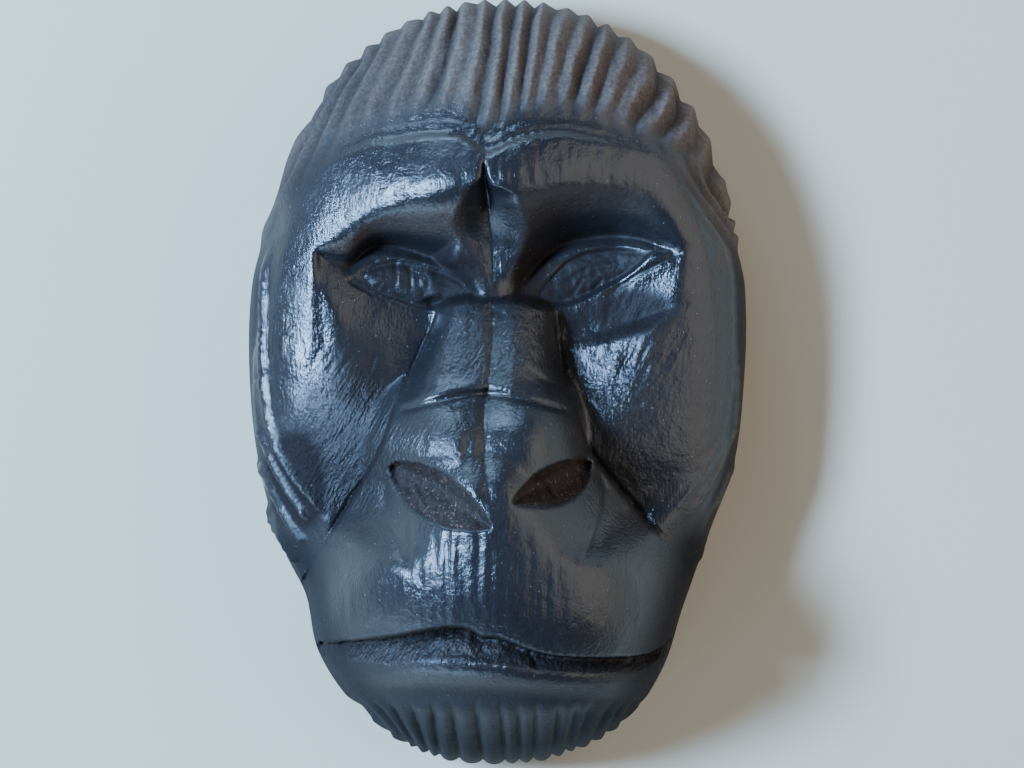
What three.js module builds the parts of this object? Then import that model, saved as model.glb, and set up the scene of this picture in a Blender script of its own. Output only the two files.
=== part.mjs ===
import * as THREE from 'three';

// A small carved wooden mask of a gorilla's face, one solid piece that lies on its flat back.
// Millimetres: +X to the right of the face, +Y to the crown, +Z out of the face, back at z = 0.

// Whole size
const HALF_WIDTH = 32.4;
const HALF_LENGTH = 50;
const WIDEST_HEIGHT = 8;
const BACK_EDGE_HEIGHT = 1;
const BACK_EDGE_SHARE = 0.985;
const BACK_SHARE = 0.965;

// The outline, and the edge of the bare face inside the hair, as points [x, y] from the left side by the chin
const OUTLINE = [
  [-32.4, 0], [-30.8, -12.7], [-27.6, -22.7], [-25.0, -28.0], [-23.5, -35.0], [-18.6, -42.4], [-11.3, -48.1],
  [-1.1, -50.1], [8.5, -49.0], [16.7, -44.6], [21.7, -37.2], [24.3, -29.2], [27.6, -19.9], [31.0, -10.2],
  [32.2, 0.01], [31.7, 17.8], [26.5, 34.3], [16.9, 45.2], [8.5, 49.0], [0, 50.0], [-11.2, 47.4],
  [-21.5, 39.6], [-28.9, 25.7], [-32.0, 13.2],
];
const FACE_EDGE = [
  [-29.9, 0], [-28.1, -10.0], [-25.6, -14.4], [-22.8, -17.9], [-17.4, -22.5], [0, -25.0], [17.4, -22.5],
  [22.8, -17.9], [25.9, -14.5], [27.7, -7.5], [28.4, 0.01], [27.8, 9.9], [27.0, 16.0], [25.6, 21.0],
  [23.7, 24.7], [21.4, 28.4], [17.0, 29.8], [12.8, 30.5], [8.5, 31.2], [5.5, 31.0], [2.4, 30.3], [0.4, 29.4],
  [-1.4, 28.7], [-3.2, 30.0], [-5.2, 31.1], [-7.6, 31.1], [-12.5, 30.6], [-18.4, 29.4], [-22.6, 27.2],
  [-25.0, 24.0], [-26.8, 19.3], [-29.2, 7.9],
];
// The middle line wanders with the carver's hand: [y, x]
const MIDDLE = [
  [-50, 0], [-32, 0.4], [-23, 0], [-15.7, -0.9], [-9, -1.6], [-2.6, -1.6], [4, -1], [10.4, -1], [17, -0.8],
  [23.5, -1.3], [28.4, -1.7], [50, -1],
];

// The dome of the head
const SIDE_RISE = 13.5;
const BROW_RISE = 9;
const BROW_HALF_WIDTH = 17;
const BROW_FADE = [4, 22];
// Above the brows the head falls back to the hair
const BROW_SETBACK = { share: 0.36, from: [25, 34.5] };
const DOME_POWER = 4;
const HAIR_DROP = { middle: 1.1, side: 0.5, lower: [-24, -14] };
// The shelf over the brows starts and ends between these angles of the ellipse, in degrees
const SHELF = { width: 2.5, least: 0.7, right: [35, 75], left: [105, 147] };
// A distance across the outline is about this share of the distance along the radius
const SLANT = 0.9;

// Sockets and cheeks. Lines of each side, left then right, run outwards as [distance from the middle line, y]
const BROW_LINE = [
  [
    [0, 25.2], [2, 24.4], [5, 23.1], [7.6, 22.4], [11.5, 22.1], [15.4, 20.9], [18, 19.4], [20.6, 17.9],
    [26, 16.6],
  ],
  [
    [0, 24.6], [3.5, 23.8], [8.1, 24.8], [12, 25.3], [15.9, 25.3], [19.8, 24.5], [22.4, 22.6], [25.1, 18.9],
    [27, 17.3],
  ],
];
const LID_LINE = [
  [
    [0, 10.6], [2.4, 13], [4.3, 15.2], [6.3, 16.2], [8.9, 17.1], [11.5, 17.9], [14.7, 18.1], [16.6, 17.2],
    [18.3, 15.5], [20.4, 15.8], [23, 16.5],
  ],
  [
    [0, 10.3], [2.2, 10.6], [3.5, 12.3], [4.8, 14.4], [6.8, 16.6], [8.7, 18], [10.7, 18.8], [14.6, 19.4],
    [17.5, 19.4], [20, 18.9], [22, 18.1], [27, 17],
  ],
];
const BROW = { roll: 0.4, foot: 0.1, leastHeight: 0.6 };
// Inner side of the rim beside each cheek, as [y, distance], and how wide its slope is, as [y, width]
const RIM_LINE = [
  [[-12, 20], [-4, 21], [2, 22], [9, 22.3], [20, 22.5]],
  [[-12, 21], [-4, 22], [2, 24], [9, 25], [20, 26]],
];
const RIM_SLOPE = [
  [[-8, 9], [0, 7], [4, 4.5], [8, 2.4], [16, 1.6]],
  [[-8, 9], [0, 8], [6, 7], [10, 5.5], [16, 4]],
];
const RIM_INNER = 0.4;
const SOCKET_HEIGHT = 16.8;
const SOCKET_RIM = { from: 16.5, slope: 0.3, fade: [4, 12] };
const BETWEEN_EYES = { rise: 3, halfWidth: 4.2 };
const CHEEK = { from: 9, outwardSlope: 0.26, top: 8, downwardSlope: 0.13, openTo: 1, closedFrom: -12 };
const CHEEK_TOP_FADE = [5, 17];
// The right cheek starts below a fold under the lower lid, as [distance, y]
const CHEEK_FOLD_LINE = [[9, 5.2], [12, 5.4], [20, 7.4], [24, 9]];
const CHEEK_FOLD = { share: 0.8, soft: [-1.5, 1.2], side: 1 };
// Below this height the cheek turns down towards the jaw
const CHEEK_TURN = { y: -9, slope: 0.3, inside: [0, 5] };
const UNDER_DOME = { gap: 0.3, soft: 0.8 };
const LID_GROOVE = { depth: 1, below: 0.6, width: 0.8, from: 3, to: [17, 22] };

// The valley between the brows, as [y, height of its floor], and per side as [y, slope] and [y, half width]
const VALLEY_FLOOR = [
  [9, 21.4], [11, 20.9], [13, 20.3], [15, 20], [18.5, 20.4], [22, 21.8], [24, 23], [26, 24.8], [28.5, 26.8],
  [31, 28.6], [34, 32],
];
const VALLEY_SLOPE = [
  [[10, 0.1], [15, 0.3], [18.5, 0.32], [20.5, 0.7], [22, 1.1], [23.7, 2], [25.7, 3], [28.3, 2.2]],
  [[10, 0.1], [15, 0.2], [18.5, 0.4], [20.5, 0.8], [22.5, 1.5], [23.7, 2.4], [24.6, 5], [26, 9]],
];
const VALLEY_WIDTH = [
  [[10, 0.6], [12, 1.9], [14.4, 3.6], [15.6, 4.8], [17, 4.8], [18.5, 4], [20, 2], [22, 0.5]],
  [[10, 1], [12, 2], [15, 3.2], [17, 3.2], [18.5, 2.4], [20, 1]],
];
const VALLEY_EDGE = [{ soft: 0.3, sideFall: 2.2, round: 0.7 }, { soft: 0.8, sideFall: 1.1, round: 1 }];
const VALLEY_RIDGE = { top: [21.5, 24], sink: 60, soft: 0.3 };

// Eyes: upper and lower rim of the almond on each side, as [distance from the middle line, y]
const EYE_TOP = [
  [
    [3, 11.6], [4.3, 13.5], [6.3, 14.6], [8.2, 15.3], [10.2, 15.8], [12.1, 16.1], [13.4, 15.9], [15.1, 15.3],
    [17, 13.9],
  ],
  [
    [5.6, 9.9], [6.8, 12.3], [7.8, 13.9], [8.9, 15.2], [10.3, 16.3], [12, 17], [14.6, 17.4], [17.2, 17.3],
    [20.8, 16.6],
  ],
];
const EYE_BOTTOM = [
  [
    [3, 11.6], [3.9, 10.6], [5, 9.6], [6.5, 8.9], [8.2, 8.9], [10.2, 9.4], [12.1, 10.2], [14.4, 11],
    [17, 13.9],
  ],
  [
    [5.6, 9.9], [7.4, 9.7], [9.4, 9.7], [11, 10], [12.7, 10.8], [14.6, 11.9], [16.6, 13], [18.5, 14.4],
    [20.8, 16.6],
  ],
];
const EYE = { bulge: [1.5, 1], bulgePower: 0.7, sink: 1.1, sinkWidth: 0.25, fullHalfHeight: 3 };
// The right lower lid stands proud below the eye and falls to the cheek
const LID_PAD = { height: 0.6, width: 3.2, rim: [-0.5, 0.3], inner: [6, 10], outer: [20, 24], side: 1 };

// Nose
const BRIDGE_HALF_WIDTH = [
  [[-4, 12], [-2.6, 11.4], [-0.6, 10.6], [4.6, 8.6], [8.5, 6.9], [11, 6.4]],
  [[-4, 12], [-2.6, 11.4], [-0.6, 10.4], [4.6, 8.8], [9, 8.4], [11, 8]],
];
const BRIDGE = { top: 10.4, height: 22.1, slope: 0.54, foot: 18 };
const BRIDGE_END = { drop: 4, from: -0.4, to: 1.6, past: 2, bend: 0.22, bendFrom: 3 };
const BRIDGE_RIM = { height: 0.35, above: 1.1, width: 0.8 };
const BRIDGE_SIDE = [
  { power: 6, slope: 0.06, from: 0, groove: 0.3, grooveWidth: 1.2 },
  { power: 5, slope: 0.3, from: 3, groove: 0.75, grooveWidth: 3.2 },
];
const NOSE_BALL = { height: 34, y: -9.8, dip: 0.5, dipWidth: 3.4 };
const NOSE_BALL_SIDES = { flat: 4.4, fall: 9, reach: 7.7, power: 2.3 };
const NOSE_BALL_ENDS = { fall: 6.5, reach: 8.6, power: 2.2 };
const NOSE_GROOVE = { depth: 0.8, width: 1.1, top: [0, 3], bottom: [13.5, 17] };
const NOSE_SOFT = { bridge: 0.8, ball: 1 };
// A nostril is steep above its long axis and shallow below it
const NOSTRIL_WALL = { steepness: 1.6, power: 0.6 };
const NOSTRIL = [
  { outer: [12.3, -10.8], inner: [0.2, -18.6], above: 3.1, below: 3.9, depth: 3.8 },
  { outer: [13.5, -10.4], inner: [2.8, -15.4], above: 2.1, below: 3.3, depth: 3.8 },
];
const NOSE_CREASE = {
  depth: 0.6, width: 0.45, end: [9.5, 12],
  line: [[0, -1.55], [3, -1.85], [6, -2.55], [9, -3.35], [11.4, -3.95]],
};

// Muzzle: rise over the widest line down its length, as [y, rise]
const MUZZLE_RISE = [[-50, 31.3], [-42, 33.3], [-33, 34.8], [-22, 32.4], [-15, 31.4], [0, 30]];
const MUZZLE_POWER = 2.05;
const MUZZLE_KEEL = { slope: [0.12, 0.02], round: 1.5 };
const MUZZLE_CORNER = [14.8, -11];
const MUZZLE_NORMAL = [-0.809, -0.588];
const MUZZLE_BEND = [[-30, 0], [-18, 0.1], [-11, 0], [-7.7, 0.5], [-2.6, 2.2], [2, 4]];
const MUZZLE_STEP = { height: 0.2, slope: 1.6, soft: 0.6 };
const MUZZLE_TOP = { height: 20, y: 3, slope: 1.15 };
const MUZZLE_SOFT = { top: 2, side: 3 };
// Beside the nose the muzzle lies over the cheek; further out it takes its place
const MUZZLE_INNER = 4;
const FOLD = { depth: 0.3, width: 1, end: [0.6, 1] };
const FOLD_LINE = [
  [[12.9, -10.6], [13.4, -14], [13, -18], [12, -22], [10, -25], [7.6, -27.6]],
  [[14.3, -11.5], [15.2, -14.5], [15.2, -16.5], [14.2, -19.5], [12.9, -22], [12, -25.5]],
];

// Mouth, as [x, y]
const UPPER_LIP = [
  [-26, -34.4], [-23, -34], [-21, -33.6], [-17, -33.1], [-12.6, -32.4], [-8, -31.4], [-5.5, -31.1],
  [-3.4, -31.4], [-2, -32.3], [0, -32.4], [2, -33.2], [5, -34.4], [8, -35], [14, -35.3], [18.7, -35.2],
  [20.6, -34.6], [22.4, -33.6], [25, -32],
];
const LOWER_LIP = [
  [-26, -34.6], [-23, -35.4], [-21, -36], [-17, -36.5], [-12.6, -36.6], [-8.7, -36], [-2.3, -36.3],
  [2, -36.7], [7, -37.2], [13.4, -37.7], [18.7, -37.2], [20.6, -36.2], [22.4, -34.6], [25, -32.4],
];
const MOUTH = { left: -24.6, right: 23.6, corner: 4.6, cornerDepth: 1.2, depth: 4.2 };
const MOUTH_WALL = { undercut: 0.2, power: 1.1, edge: [-0.02, 0.1] };
const LOWER_LIP_BACK = { depth: 1.3, edge: [-0.1, 0.5], fade: 2 };
const LIP_ROLL = { height: 0.9, below: 1.3, width: 1.5 };
const CHIN_CREASE = { depth: 0.4, y: -40.3, width: 0.9, bend: 0.003, end: [14, 20] };

// Gouged hair, beard and side strokes
const GROOVES = 18;
const HAIR_GROOVE = { depth: 1.45, from: -0.6, full: 4, lower: [12, 22] };
const HAIR_LEAN = { left: 0.35, right: 0.95, between: [-0.1, 0.7], fade: [0.45, 0.7] };
const BEARD_DEPTH = 0.65;
const BEARD_FADE = [-43.5, -40.8];
const STROKE = { left: 0.6, right: 0.3, halfWidth: 0.75, start: [0, 0.15], end: [0.9, 1] };
const STROKE_LINES = [
  [
    [-29.4, 19], [-30.3, 13.9], [-30.5, 4], [-30.3, -1], [-29.8, -4.9], [-28.6, -8.7], [-26.3, -12.6],
    [-24, -15.2], [-22.2, -17.2],
  ],
  [[-31.7, 8], [-31.5, -2], [-30.8, -6.7], [-29.4, -9.9], [-27.8, -13], [-25.9, -16], [-24.3, -18.4]],
  [[-31.4, -9.9], [-30, -12.6], [-28.6, -15.6], [-26.7, -18.8], [-24.8, -21.3]],
  [[-30.3, -15.6], [-29, -18.8], [-27.4, -21.6], [-26, -23.6]],
];

// Facets: four columns to a groove, and the grid stops short of the widest line. Rows are close on the mouth,
// nose and eyes and wide apart in the hair: [from, to, rows] up the length
const COLUMNS = GROOVES * 4;
const ROW_BANDS = [
  [-1, -0.84, 4], [-0.84, -0.6, 10], [-0.6, -0.4, 3], [-0.4, -0.04, 13], [-0.04, 0.16, 3], [0.16, 0.37, 9],
  [0.37, 0.62, 6], [0.62, 1, 5],
];
const GRID_SHARE = 0.985;
const KEPT_LINE_REACH = 0.55;

const clamp = (value, low, high) => Math.min(Math.max(value, low), high);
const softMin = (a, b, soft) => (a + b - Math.hypot(a - b, soft)) / 2;
const softMax = (a, b, soft) => (a + b + Math.hypot(a - b, soft)) / 2;
const bump = (distance, width) => Math.exp(-((distance / width) ** 2));

// 0 below low, 1 above high, with soft ends
function ramp(value, low, high) {
  const share = clamp((value - low) / (high - low), 0, 1);
  return share * share * (3 - 2 * share);
}

// A smooth curve through points [t, value], level with its end points beyond them
function curve(points) {
  const slopes = points.map((_, i) => {
    const before = points[Math.max(i - 1, 0)];
    const after = points[Math.min(i + 1, points.length - 1)];
    return (after[1] - before[1]) / (after[0] - before[0]);
  });
  return (where) => {
    const t = clamp(where, points[0][0], points.at(-1)[0]);
    let i = 0;
    while (i < points.length - 2 && t >= points[i + 1][0]) i += 1;
    const [t0, v0] = points[i];
    const [t1, v1] = points[i + 1];
    const span = t1 - t0;
    const s = (t - t0) / span;
    const start = (1 + 2 * s) * (1 - s) ** 2 * v0 + s * (1 - s) ** 2 * span * slopes[i];
    return start + s * s * (3 - 2 * s) * v1 + s * s * (s - 1) * span * slopes[i + 1];
  };
}

// A closed outline through points [x, y] as its share of the ellipse's radius at each angle of the ellipse
function closedOutline(points) {
  const polar = points.map(([x, y]) => [
    Math.atan2(y / HALF_LENGTH, x / HALF_WIDTH),
    Math.hypot(x / HALF_WIDTH, y / HALF_LENGTH),
  ]);
  polar[0][0] = -Math.PI;
  const turn = (entries, by) => entries.map(([angle, share]) => [angle + by, share]);
  const around = [...turn(polar.slice(-2), -2 * Math.PI), ...polar, ...turn(polar.slice(0, 3), 2 * Math.PI)];
  return curve(around);
}

const outlineShare = closedOutline(OUTLINE);
const faceShare = closedOutline(FACE_EDGE);
const middleAt = curve(MIDDLE);
const browAt = BROW_LINE.map(curve);
const lidAt = LID_LINE.map(curve);
const rimAt = RIM_LINE.map(curve);
const rimSlopeAt = RIM_SLOPE.map(curve);
const cheekFoldAt = curve(CHEEK_FOLD_LINE);
const valleyFloorAt = curve(VALLEY_FLOOR);
const valleySlopeAt = VALLEY_SLOPE.map(curve);
const valleyWidthAt = VALLEY_WIDTH.map(curve);
const eyeTopAt = EYE_TOP.map(curve);
const eyeBottomAt = EYE_BOTTOM.map(curve);
const bridgeAt = BRIDGE_HALF_WIDTH.map(curve);
const creaseAt = curve(NOSE_CREASE.line);
const muzzleRiseAt = curve(MUZZLE_RISE);
const muzzleBendAt = curve(MUZZLE_BEND);
const upperLipAt = curve(UPPER_LIP);
const lowerLipAt = curve(LOWER_LIP);

// The nearest place on a line of straight pieces: its distance, its point, and how far along it lies, 0 to 1
function lineDistance(x, y, line) {
  let nearest = Infinity;
  let along = 0;
  let point = line[0];
  for (let i = 0; i < line.length - 1; i += 1) {
    const [x0, y0] = line[i];
    const dx = line[i + 1][0] - x0;
    const dy = line[i + 1][1] - y0;
    const share = clamp(((x - x0) * dx + (y - y0) * dy) / (dx * dx + dy * dy), 0, 1);
    const distance = Math.hypot(x - x0 - share * dx, y - y0 - share * dy);
    if (distance < nearest) {
      nearest = distance;
      along = (i + share) / (line.length - 1);
      point = [x0 + share * dx, y0 + share * dy];
    }
  }
  return { distance: nearest, along, point };
}

// What the carving functions ask of a point: its place on the oval and its distance from the middle line
function placeOf(x, y) {
  const angle = Math.atan2(y / HALF_LENGTH, x / HALF_WIDTH);
  const share = Math.hypot(x / HALF_WIDTH, y / HALF_LENGTH) / outlineShare(angle);
  const middle = middleAt(y);
  const radius = share > 0 ? Math.hypot(x, y) / share : HALF_WIDTH;
  return { x, y, angle, share, radius, out: Math.abs(x - middle), side: x < middle ? 0 : 1 };
}

function domeRise(x, y) {
  const upwards = ramp(y, ...BROW_FADE) - BROW_SETBACK.share * ramp(y, ...BROW_SETBACK.from);
  return SIDE_RISE + BROW_RISE * bump(x, BROW_HALF_WIDTH) * upwards;
}

function domeHeight({ x, y, share }) {
  return WIDEST_HEIGHT + domeRise(x, y) * Math.sqrt(Math.max(1 - share ** DOME_POWER, 0));
}

// The hollow of socket and cheek, rising outwards and downwards
function hollowHeight({ y, out, side }) {
  const aboveFold = side === CHEEK_FOLD.side ? ramp(y - cheekFoldAt(out), ...CHEEK_FOLD.soft) : 0;
  const slope = CHEEK.outwardSlope * (1 - CHEEK_FOLD.share * aboveFold);
  const outwards = slope * softMax(out - CHEEK.from, 0, 2) * (1 - ramp(y, ...CHEEK_TOP_FADE));
  const rim = SOCKET_RIM.slope * softMax(out - SOCKET_RIM.from, 0, 1) * ramp(y, ...SOCKET_RIM.fade);
  return SOCKET_HEIGHT + outwards + rim + CHEEK.downwardSlope * softMax(CHEEK.top - y, 0, 6);
}

const lowerCheek = (y) => ramp(-y, -CHEEK.openTo, -CHEEK.closedFrom);

// A hollow's floor stays under the dome
const underDome = (hollow, dome) => softMin(hollow, dome - UNDER_DOME.gap, UNDER_DOME.soft);

// How far the lower cheek falls below the dome: a slope downwards that starts at the edge of the bare face
function cheekTurn(place) {
  if (place.y > 0) return 0;
  const fall = CHEEK_TURN.slope * softMax(CHEEK_TURN.y - place.y, 0, 2);
  return fall * ramp(insideFace(place), ...CHEEK_TURN.inside);
}

// Brows, sockets and cheeks: the dome is kept on brows, rims and lower cheeks, and hollowed between them
function socketsAndCheeks(place, dome) {
  const { y, out, side } = place;
  const lid = lidAt[side](out);
  const browShare = (y - lid) / Math.max(browAt[side](out) - lid, BROW.leastHeight);
  const brow = softMin(softMax(browShare, 0, BROW.foot), 1, BROW.roll);
  const slope = rimSlopeAt[side](y);
  const rim = ramp(out, rimAt[side](y) - RIM_INNER * slope, rimAt[side](y) + (1 - RIM_INNER) * slope);
  const kept = 1 - (1 - brow) * (1 - rim) * (1 - lowerCheek(y));
  const floor = underDome(hollowHeight(place) + BETWEEN_EYES.rise * bump(out, BETWEEN_EYES.halfWidth), dome);
  return floor + (dome - floor) * kept;
}

// A V cut down between the brows, which goes on between the eyes as a ridge of the same V with falling sides
function withValley({ y, out, side }, z) {
  const { soft, sideFall, round } = VALLEY_EDGE[side];
  const slope = valleySlopeAt[side](y);
  const valley = valleyFloorAt(y) + slope * out;
  const cut = y > VALLEY_FLOOR[0][0] ? softMin(z, valley, soft) : z;
  if (y < BRIDGE.top - 1) return cut;
  const beyond = softMax(out - valleyWidthAt[side](y), 0, round);
  const ridge = valley - (slope + sideFall) * beyond - VALLEY_RIDGE.sink * ramp(y, ...VALLEY_RIDGE.top);
  return softMax(cut, ridge, VALLEY_RIDGE.soft);
}

function lidGrooveDepth({ y, out, side }) {
  const { depth, below, width, from, to } = LID_GROOVE;
  const across = bump(y - lidAt[side](out) + below, width);
  return depth * across * ramp(out, from, from * 2) * (1 - ramp(out, to[side], to[side] + 3));
}

// The eyeball swells inside its almond rim, which is cut a little into the socket
function eyeRise({ y, out, side }) {
  const top = eyeTopAt[side](out);
  const bottom = eyeBottomAt[side](out);
  const inside = out > EYE_TOP[side][0][0] && out < EYE_TOP[side].at(-1)[0] && top > bottom;
  const across = inside ? Math.abs(y - (top + bottom) / 2) / ((top - bottom) / 2) : 1;
  if (across >= 1) return 0;
  const size = Math.sqrt(clamp((top - bottom) / 2 / EYE.fullHalfHeight, 0, 1));
  const ball = EYE.bulge[side] * (1 - across * across) ** EYE.bulgePower;
  return (ball - EYE.sink * ramp(1 - across, 0, EYE.sinkWidth)) * size;
}

// Half a bell below the rim of the right eye, fading at both corners
function lidPadHeight({ y, out, side }) {
  if (side !== LID_PAD.side) return 0;
  const below = eyeBottomAt[side](out) - y;
  const ends = ramp(out, ...LID_PAD.inner) * (1 - ramp(out, ...LID_PAD.outer));
  return LID_PAD.height * bump(Math.max(below, 0), LID_PAD.width) * ramp(below, ...LID_PAD.rim) * ends;
}

// A nearly flat ridge with steep sides, a step at its top and a small rim over the crease of the ball
function bridgeHeight({ y, out, side }) {
  if (y > BRIDGE.top + BRIDGE_END.past || y < NOSE_BALL.y) return 0;
  const { power, slope, from, groove, grooveWidth } = BRIDGE_SIDE[side];
  const ridge = BRIDGE.height + BRIDGE.slope * (BRIDGE.top - y);
  const half = bridgeAt[side](y);
  const rest = ridge - BRIDGE.foot - slope * (half - from);
  const fall = slope * softMax(out - from, 0, 0.6) + rest * clamp(out / half, 0, 1.3) ** power;
  const cut = groove * softMax(1 - out / grooveWidth, 0, 0.12);
  const bend = BRIDGE_END.bend * softMax(out - BRIDGE_END.bendFrom, 0, 0.5);
  const end = BRIDGE_END.drop * ramp(y + bend - BRIDGE.top, BRIDGE_END.from, BRIDGE_END.to);
  const rim = BRIDGE_RIM.height * bump(y - creaseAt(out) - BRIDGE_RIM.above, BRIDGE_RIM.width);
  return ridge - fall - cut - end + rim;
}

function noseBallHeight({ y, out }) {
  const across = softMax(out - NOSE_BALL_SIDES.flat, 0, 1.5) / NOSE_BALL_SIDES.reach;
  const down = Math.abs(y - NOSE_BALL.y) / NOSE_BALL_ENDS.reach;
  const sides = NOSE_BALL_SIDES.fall * across ** NOSE_BALL_SIDES.power;
  const ends = NOSE_BALL_ENDS.fall * down ** NOSE_BALL_ENDS.power;
  return NOSE_BALL.height - sides - ends - NOSE_BALL.dip * bump(out, NOSE_BALL.dipWidth);
}

// The crease between the bridge and the ball
function noseCreaseDepth({ y, out }) {
  return NOSE_CREASE.depth * bump(y - creaseAt(out), NOSE_CREASE.width) * (1 - ramp(out, ...NOSE_CREASE.end));
}

// Distance below the slanting line where cheek and muzzle meet
function muzzleDistance({ y, out }) {
  const [cornerOut, cornerY] = MUZZLE_CORNER;
  return (out - cornerOut) * MUZZLE_NORMAL[0] + (y - cornerY) * MUZZLE_NORMAL[1] + muzzleBendAt(y);
}

// The muzzle steps up from the cheek, then follows a higher dome of its own with a soft keel
function muzzleHeight(place, dome) {
  const { y, out, side, share } = place;
  const cheek = underDome(hollowHeight(place), dome);
  const kept = cheek + (dome - cheek) * lowerCheek(y);
  const { height, slope, soft } = MUZZLE_STEP;
  const inwards = kept + height + slope * softMax(muzzleDistance(place), 0, soft);
  const top = MUZZLE_TOP.height + MUZZLE_TOP.slope * (MUZZLE_TOP.y - y);
  const keel = MUZZLE_KEEL.slope[side] * (Math.hypot(out, MUZZLE_KEEL.round) - MUZZLE_KEEL.round);
  const own = WIDEST_HEIGHT + muzzleRiseAt(y) * Math.sqrt(Math.max(1 - share ** MUZZLE_POWER, 0)) - keel;
  return softMin(softMin(own, top, MUZZLE_SOFT.top), inwards, MUZZLE_SOFT.side);
}

// A nostril is leaf-shaped: its half width as a share of the widest
const leafWidth = (along) => Math.sin(Math.PI * clamp(along, 0, 1) ** 0.85) ** 0.7;

function nostrilDepth({ y, out, side }) {
  const { outer, inner, above, below, depth } = NOSTRIL[side];
  const dx = inner[0] - outer[0];
  const dy = inner[1] - outer[1];
  const length = Math.hypot(dx, dy);
  const along = ((out - outer[0]) * dx + (y - outer[1]) * dy) / length ** 2;
  const across = ((out - outer[0]) * dy - (y - outer[1]) * dx) / length;
  const leaf = leafWidth(along);
  if (!(leaf > 0.01)) return 0;
  const inside = clamp(1 - Math.abs(across) / ((across > 0 ? above : below) * leaf), 0, 1);
  const wall = across > 0 ? Math.min(inside * NOSTRIL_WALL.steepness, 1) : inside;
  return depth * leaf ** NOSTRIL_WALL.power * wall;
}

function foldDepth({ y, out, side }) {
  const { distance, along } = lineDistance(out, y, FOLD_LINE[side]);
  return FOLD.depth * bump(distance, FOLD.width) * (1 - ramp(along, ...FOLD.end));
}

// The mouth's cut is deepest under the upper lip, and everything below it stands back
function mouthDepth({ x, y }) {
  const upper = upperLipAt(x);
  const lower = lowerLipAt(x);
  const across = (upper - y) / Math.max(upper - lower, 0.05);
  const roll = LIP_ROLL.height * bump(y - lower + LIP_ROLL.below, LIP_ROLL.width);
  const { depth: backDepth, edge, fade } = LOWER_LIP_BACK;
  const corners = 1 - ramp(Math.abs(x), MOUTH.right - fade, MOUTH.right + fade);
  const back = (backDepth - roll) * ramp(upper - y, ...edge) * corners;
  if (x < MOUTH.left || x > MOUTH.right || across < 0 || across > 1) return back;
  const { left, right, corner } = MOUTH;
  const inner = ramp(x, left, left + corner) * (1 - ramp(x, right - corner, right));
  const depth = MOUTH.cornerDepth + (MOUTH.depth - MOUTH.cornerDepth) * inner;
  const wall = Math.min((1 - across) / (1 - MOUTH_WALL.undercut), 1) ** MOUTH_WALL.power;
  return back + depth * wall * ramp(across, ...MOUTH_WALL.edge);
}

function chinCreaseDepth({ x, y }) {
  const across = bump(y - CHIN_CREASE.y + CHIN_CREASE.bend * x * x, CHIN_CREASE.width);
  return CHIN_CREASE.depth * across * (1 - ramp(Math.abs(x), ...CHIN_CREASE.end));
}

// How wide the shelf over the brows is: nothing at the cheeks, full over both eyes
function shelfWidth({ angle }) {
  const degrees = THREE.MathUtils.radToDeg(angle);
  return SHELF.width * ramp(degrees, ...SHELF.right) * (1 - ramp(degrees, ...SHELF.left));
}

// Distance inside the edge of the bare face, negative in the hair
function insideFace({ angle, share, radius }) {
  return (faceShare(angle) / outlineShare(angle) - share) * radius * SLANT;
}

function shelfDepth(place) {
  const width = shelfWidth(place);
  const full = HAIR_DROP.side + (HAIR_DROP.middle - HAIR_DROP.side) * (width / SHELF.width);
  return full * ramp(-insideFace(place), 0, Math.max(width, SHELF.least)) * ramp(place.y, ...HAIR_DROP.lower);
}

// Gouged grooves, measured at right angles to the surface
function grooveDepth(place, wave) {
  const width = shelfWidth(place);
  const { depth, from, full, lower } = HAIR_GROOVE;
  const hair = ramp(-insideFace(place), width + from, width + full) * ramp(place.y, ...lower);
  const beard = 1 - ramp(place.y, ...BEARD_FADE);
  return (depth * hair + BEARD_DEPTH * beard) * wave;
}

function strokeHeight({ x, y }) {
  const height = x < 0 ? STROKE.left : STROKE.right;
  return STROKE_LINES.reduce((total, line) => {
    const { distance, along } = lineDistance(-Math.abs(x), y, line);
    const across = softMax(1 - distance / STROKE.halfWidth, 0, 0.1);
    return total + height * across * ramp(along, ...STROKE.start) * (1 - ramp(along, ...STROKE.end));
  }, 0);
}

// The carved height of a point of the front, before grooves and strokes
function frontHeight(place) {
  const dome = domeHeight(place) - cheekTurn(place);
  let z = socketsAndCheeks(place, dome) - lidGrooveDepth(place) + eyeRise(place) + lidPadHeight(place);
  z = withValley(place, z - shelfDepth(place));
  if (muzzleDistance(place) > 0 && place.y < 0) {
    const muzzle = muzzleHeight(place, dome);
    z = place.out < MUZZLE_CORNER[0] - MUZZLE_INNER ? Math.max(z, muzzle) : muzzle;
  }
  z = softMax(z, bridgeHeight(place), NOSE_SOFT.bridge);
  z = softMax(z, noseBallHeight(place), NOSE_SOFT.ball);
  const noseLength = ramp(-place.y, ...NOSE_GROOVE.top) * (1 - ramp(-place.y, ...NOSE_GROOVE.bottom));
  z -= NOSE_GROOVE.depth * Math.exp(-place.out / NOSE_GROOVE.width) * noseLength;
  z -= noseCreaseDepth(place) + nostrilDepth(place) + foldDepth(place);
  return z - mouthDepth(place) - chinCreaseDepth(place);
}

// How the dome leans at a point: sideways and upward parts of the direction straight out of the surface
function domeLean({ x, y, share, radius }) {
  const fall = domeRise(x, y) * (DOME_POWER / 2) * share ** (DOME_POWER - 1);
  const slope = fall / Math.sqrt(Math.max(1 - share ** DOME_POWER, 1e-6)) / radius;
  return { sideways: slope / Math.hypot(slope, 1), upward: 1 / Math.hypot(slope, 1) };
}

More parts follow.
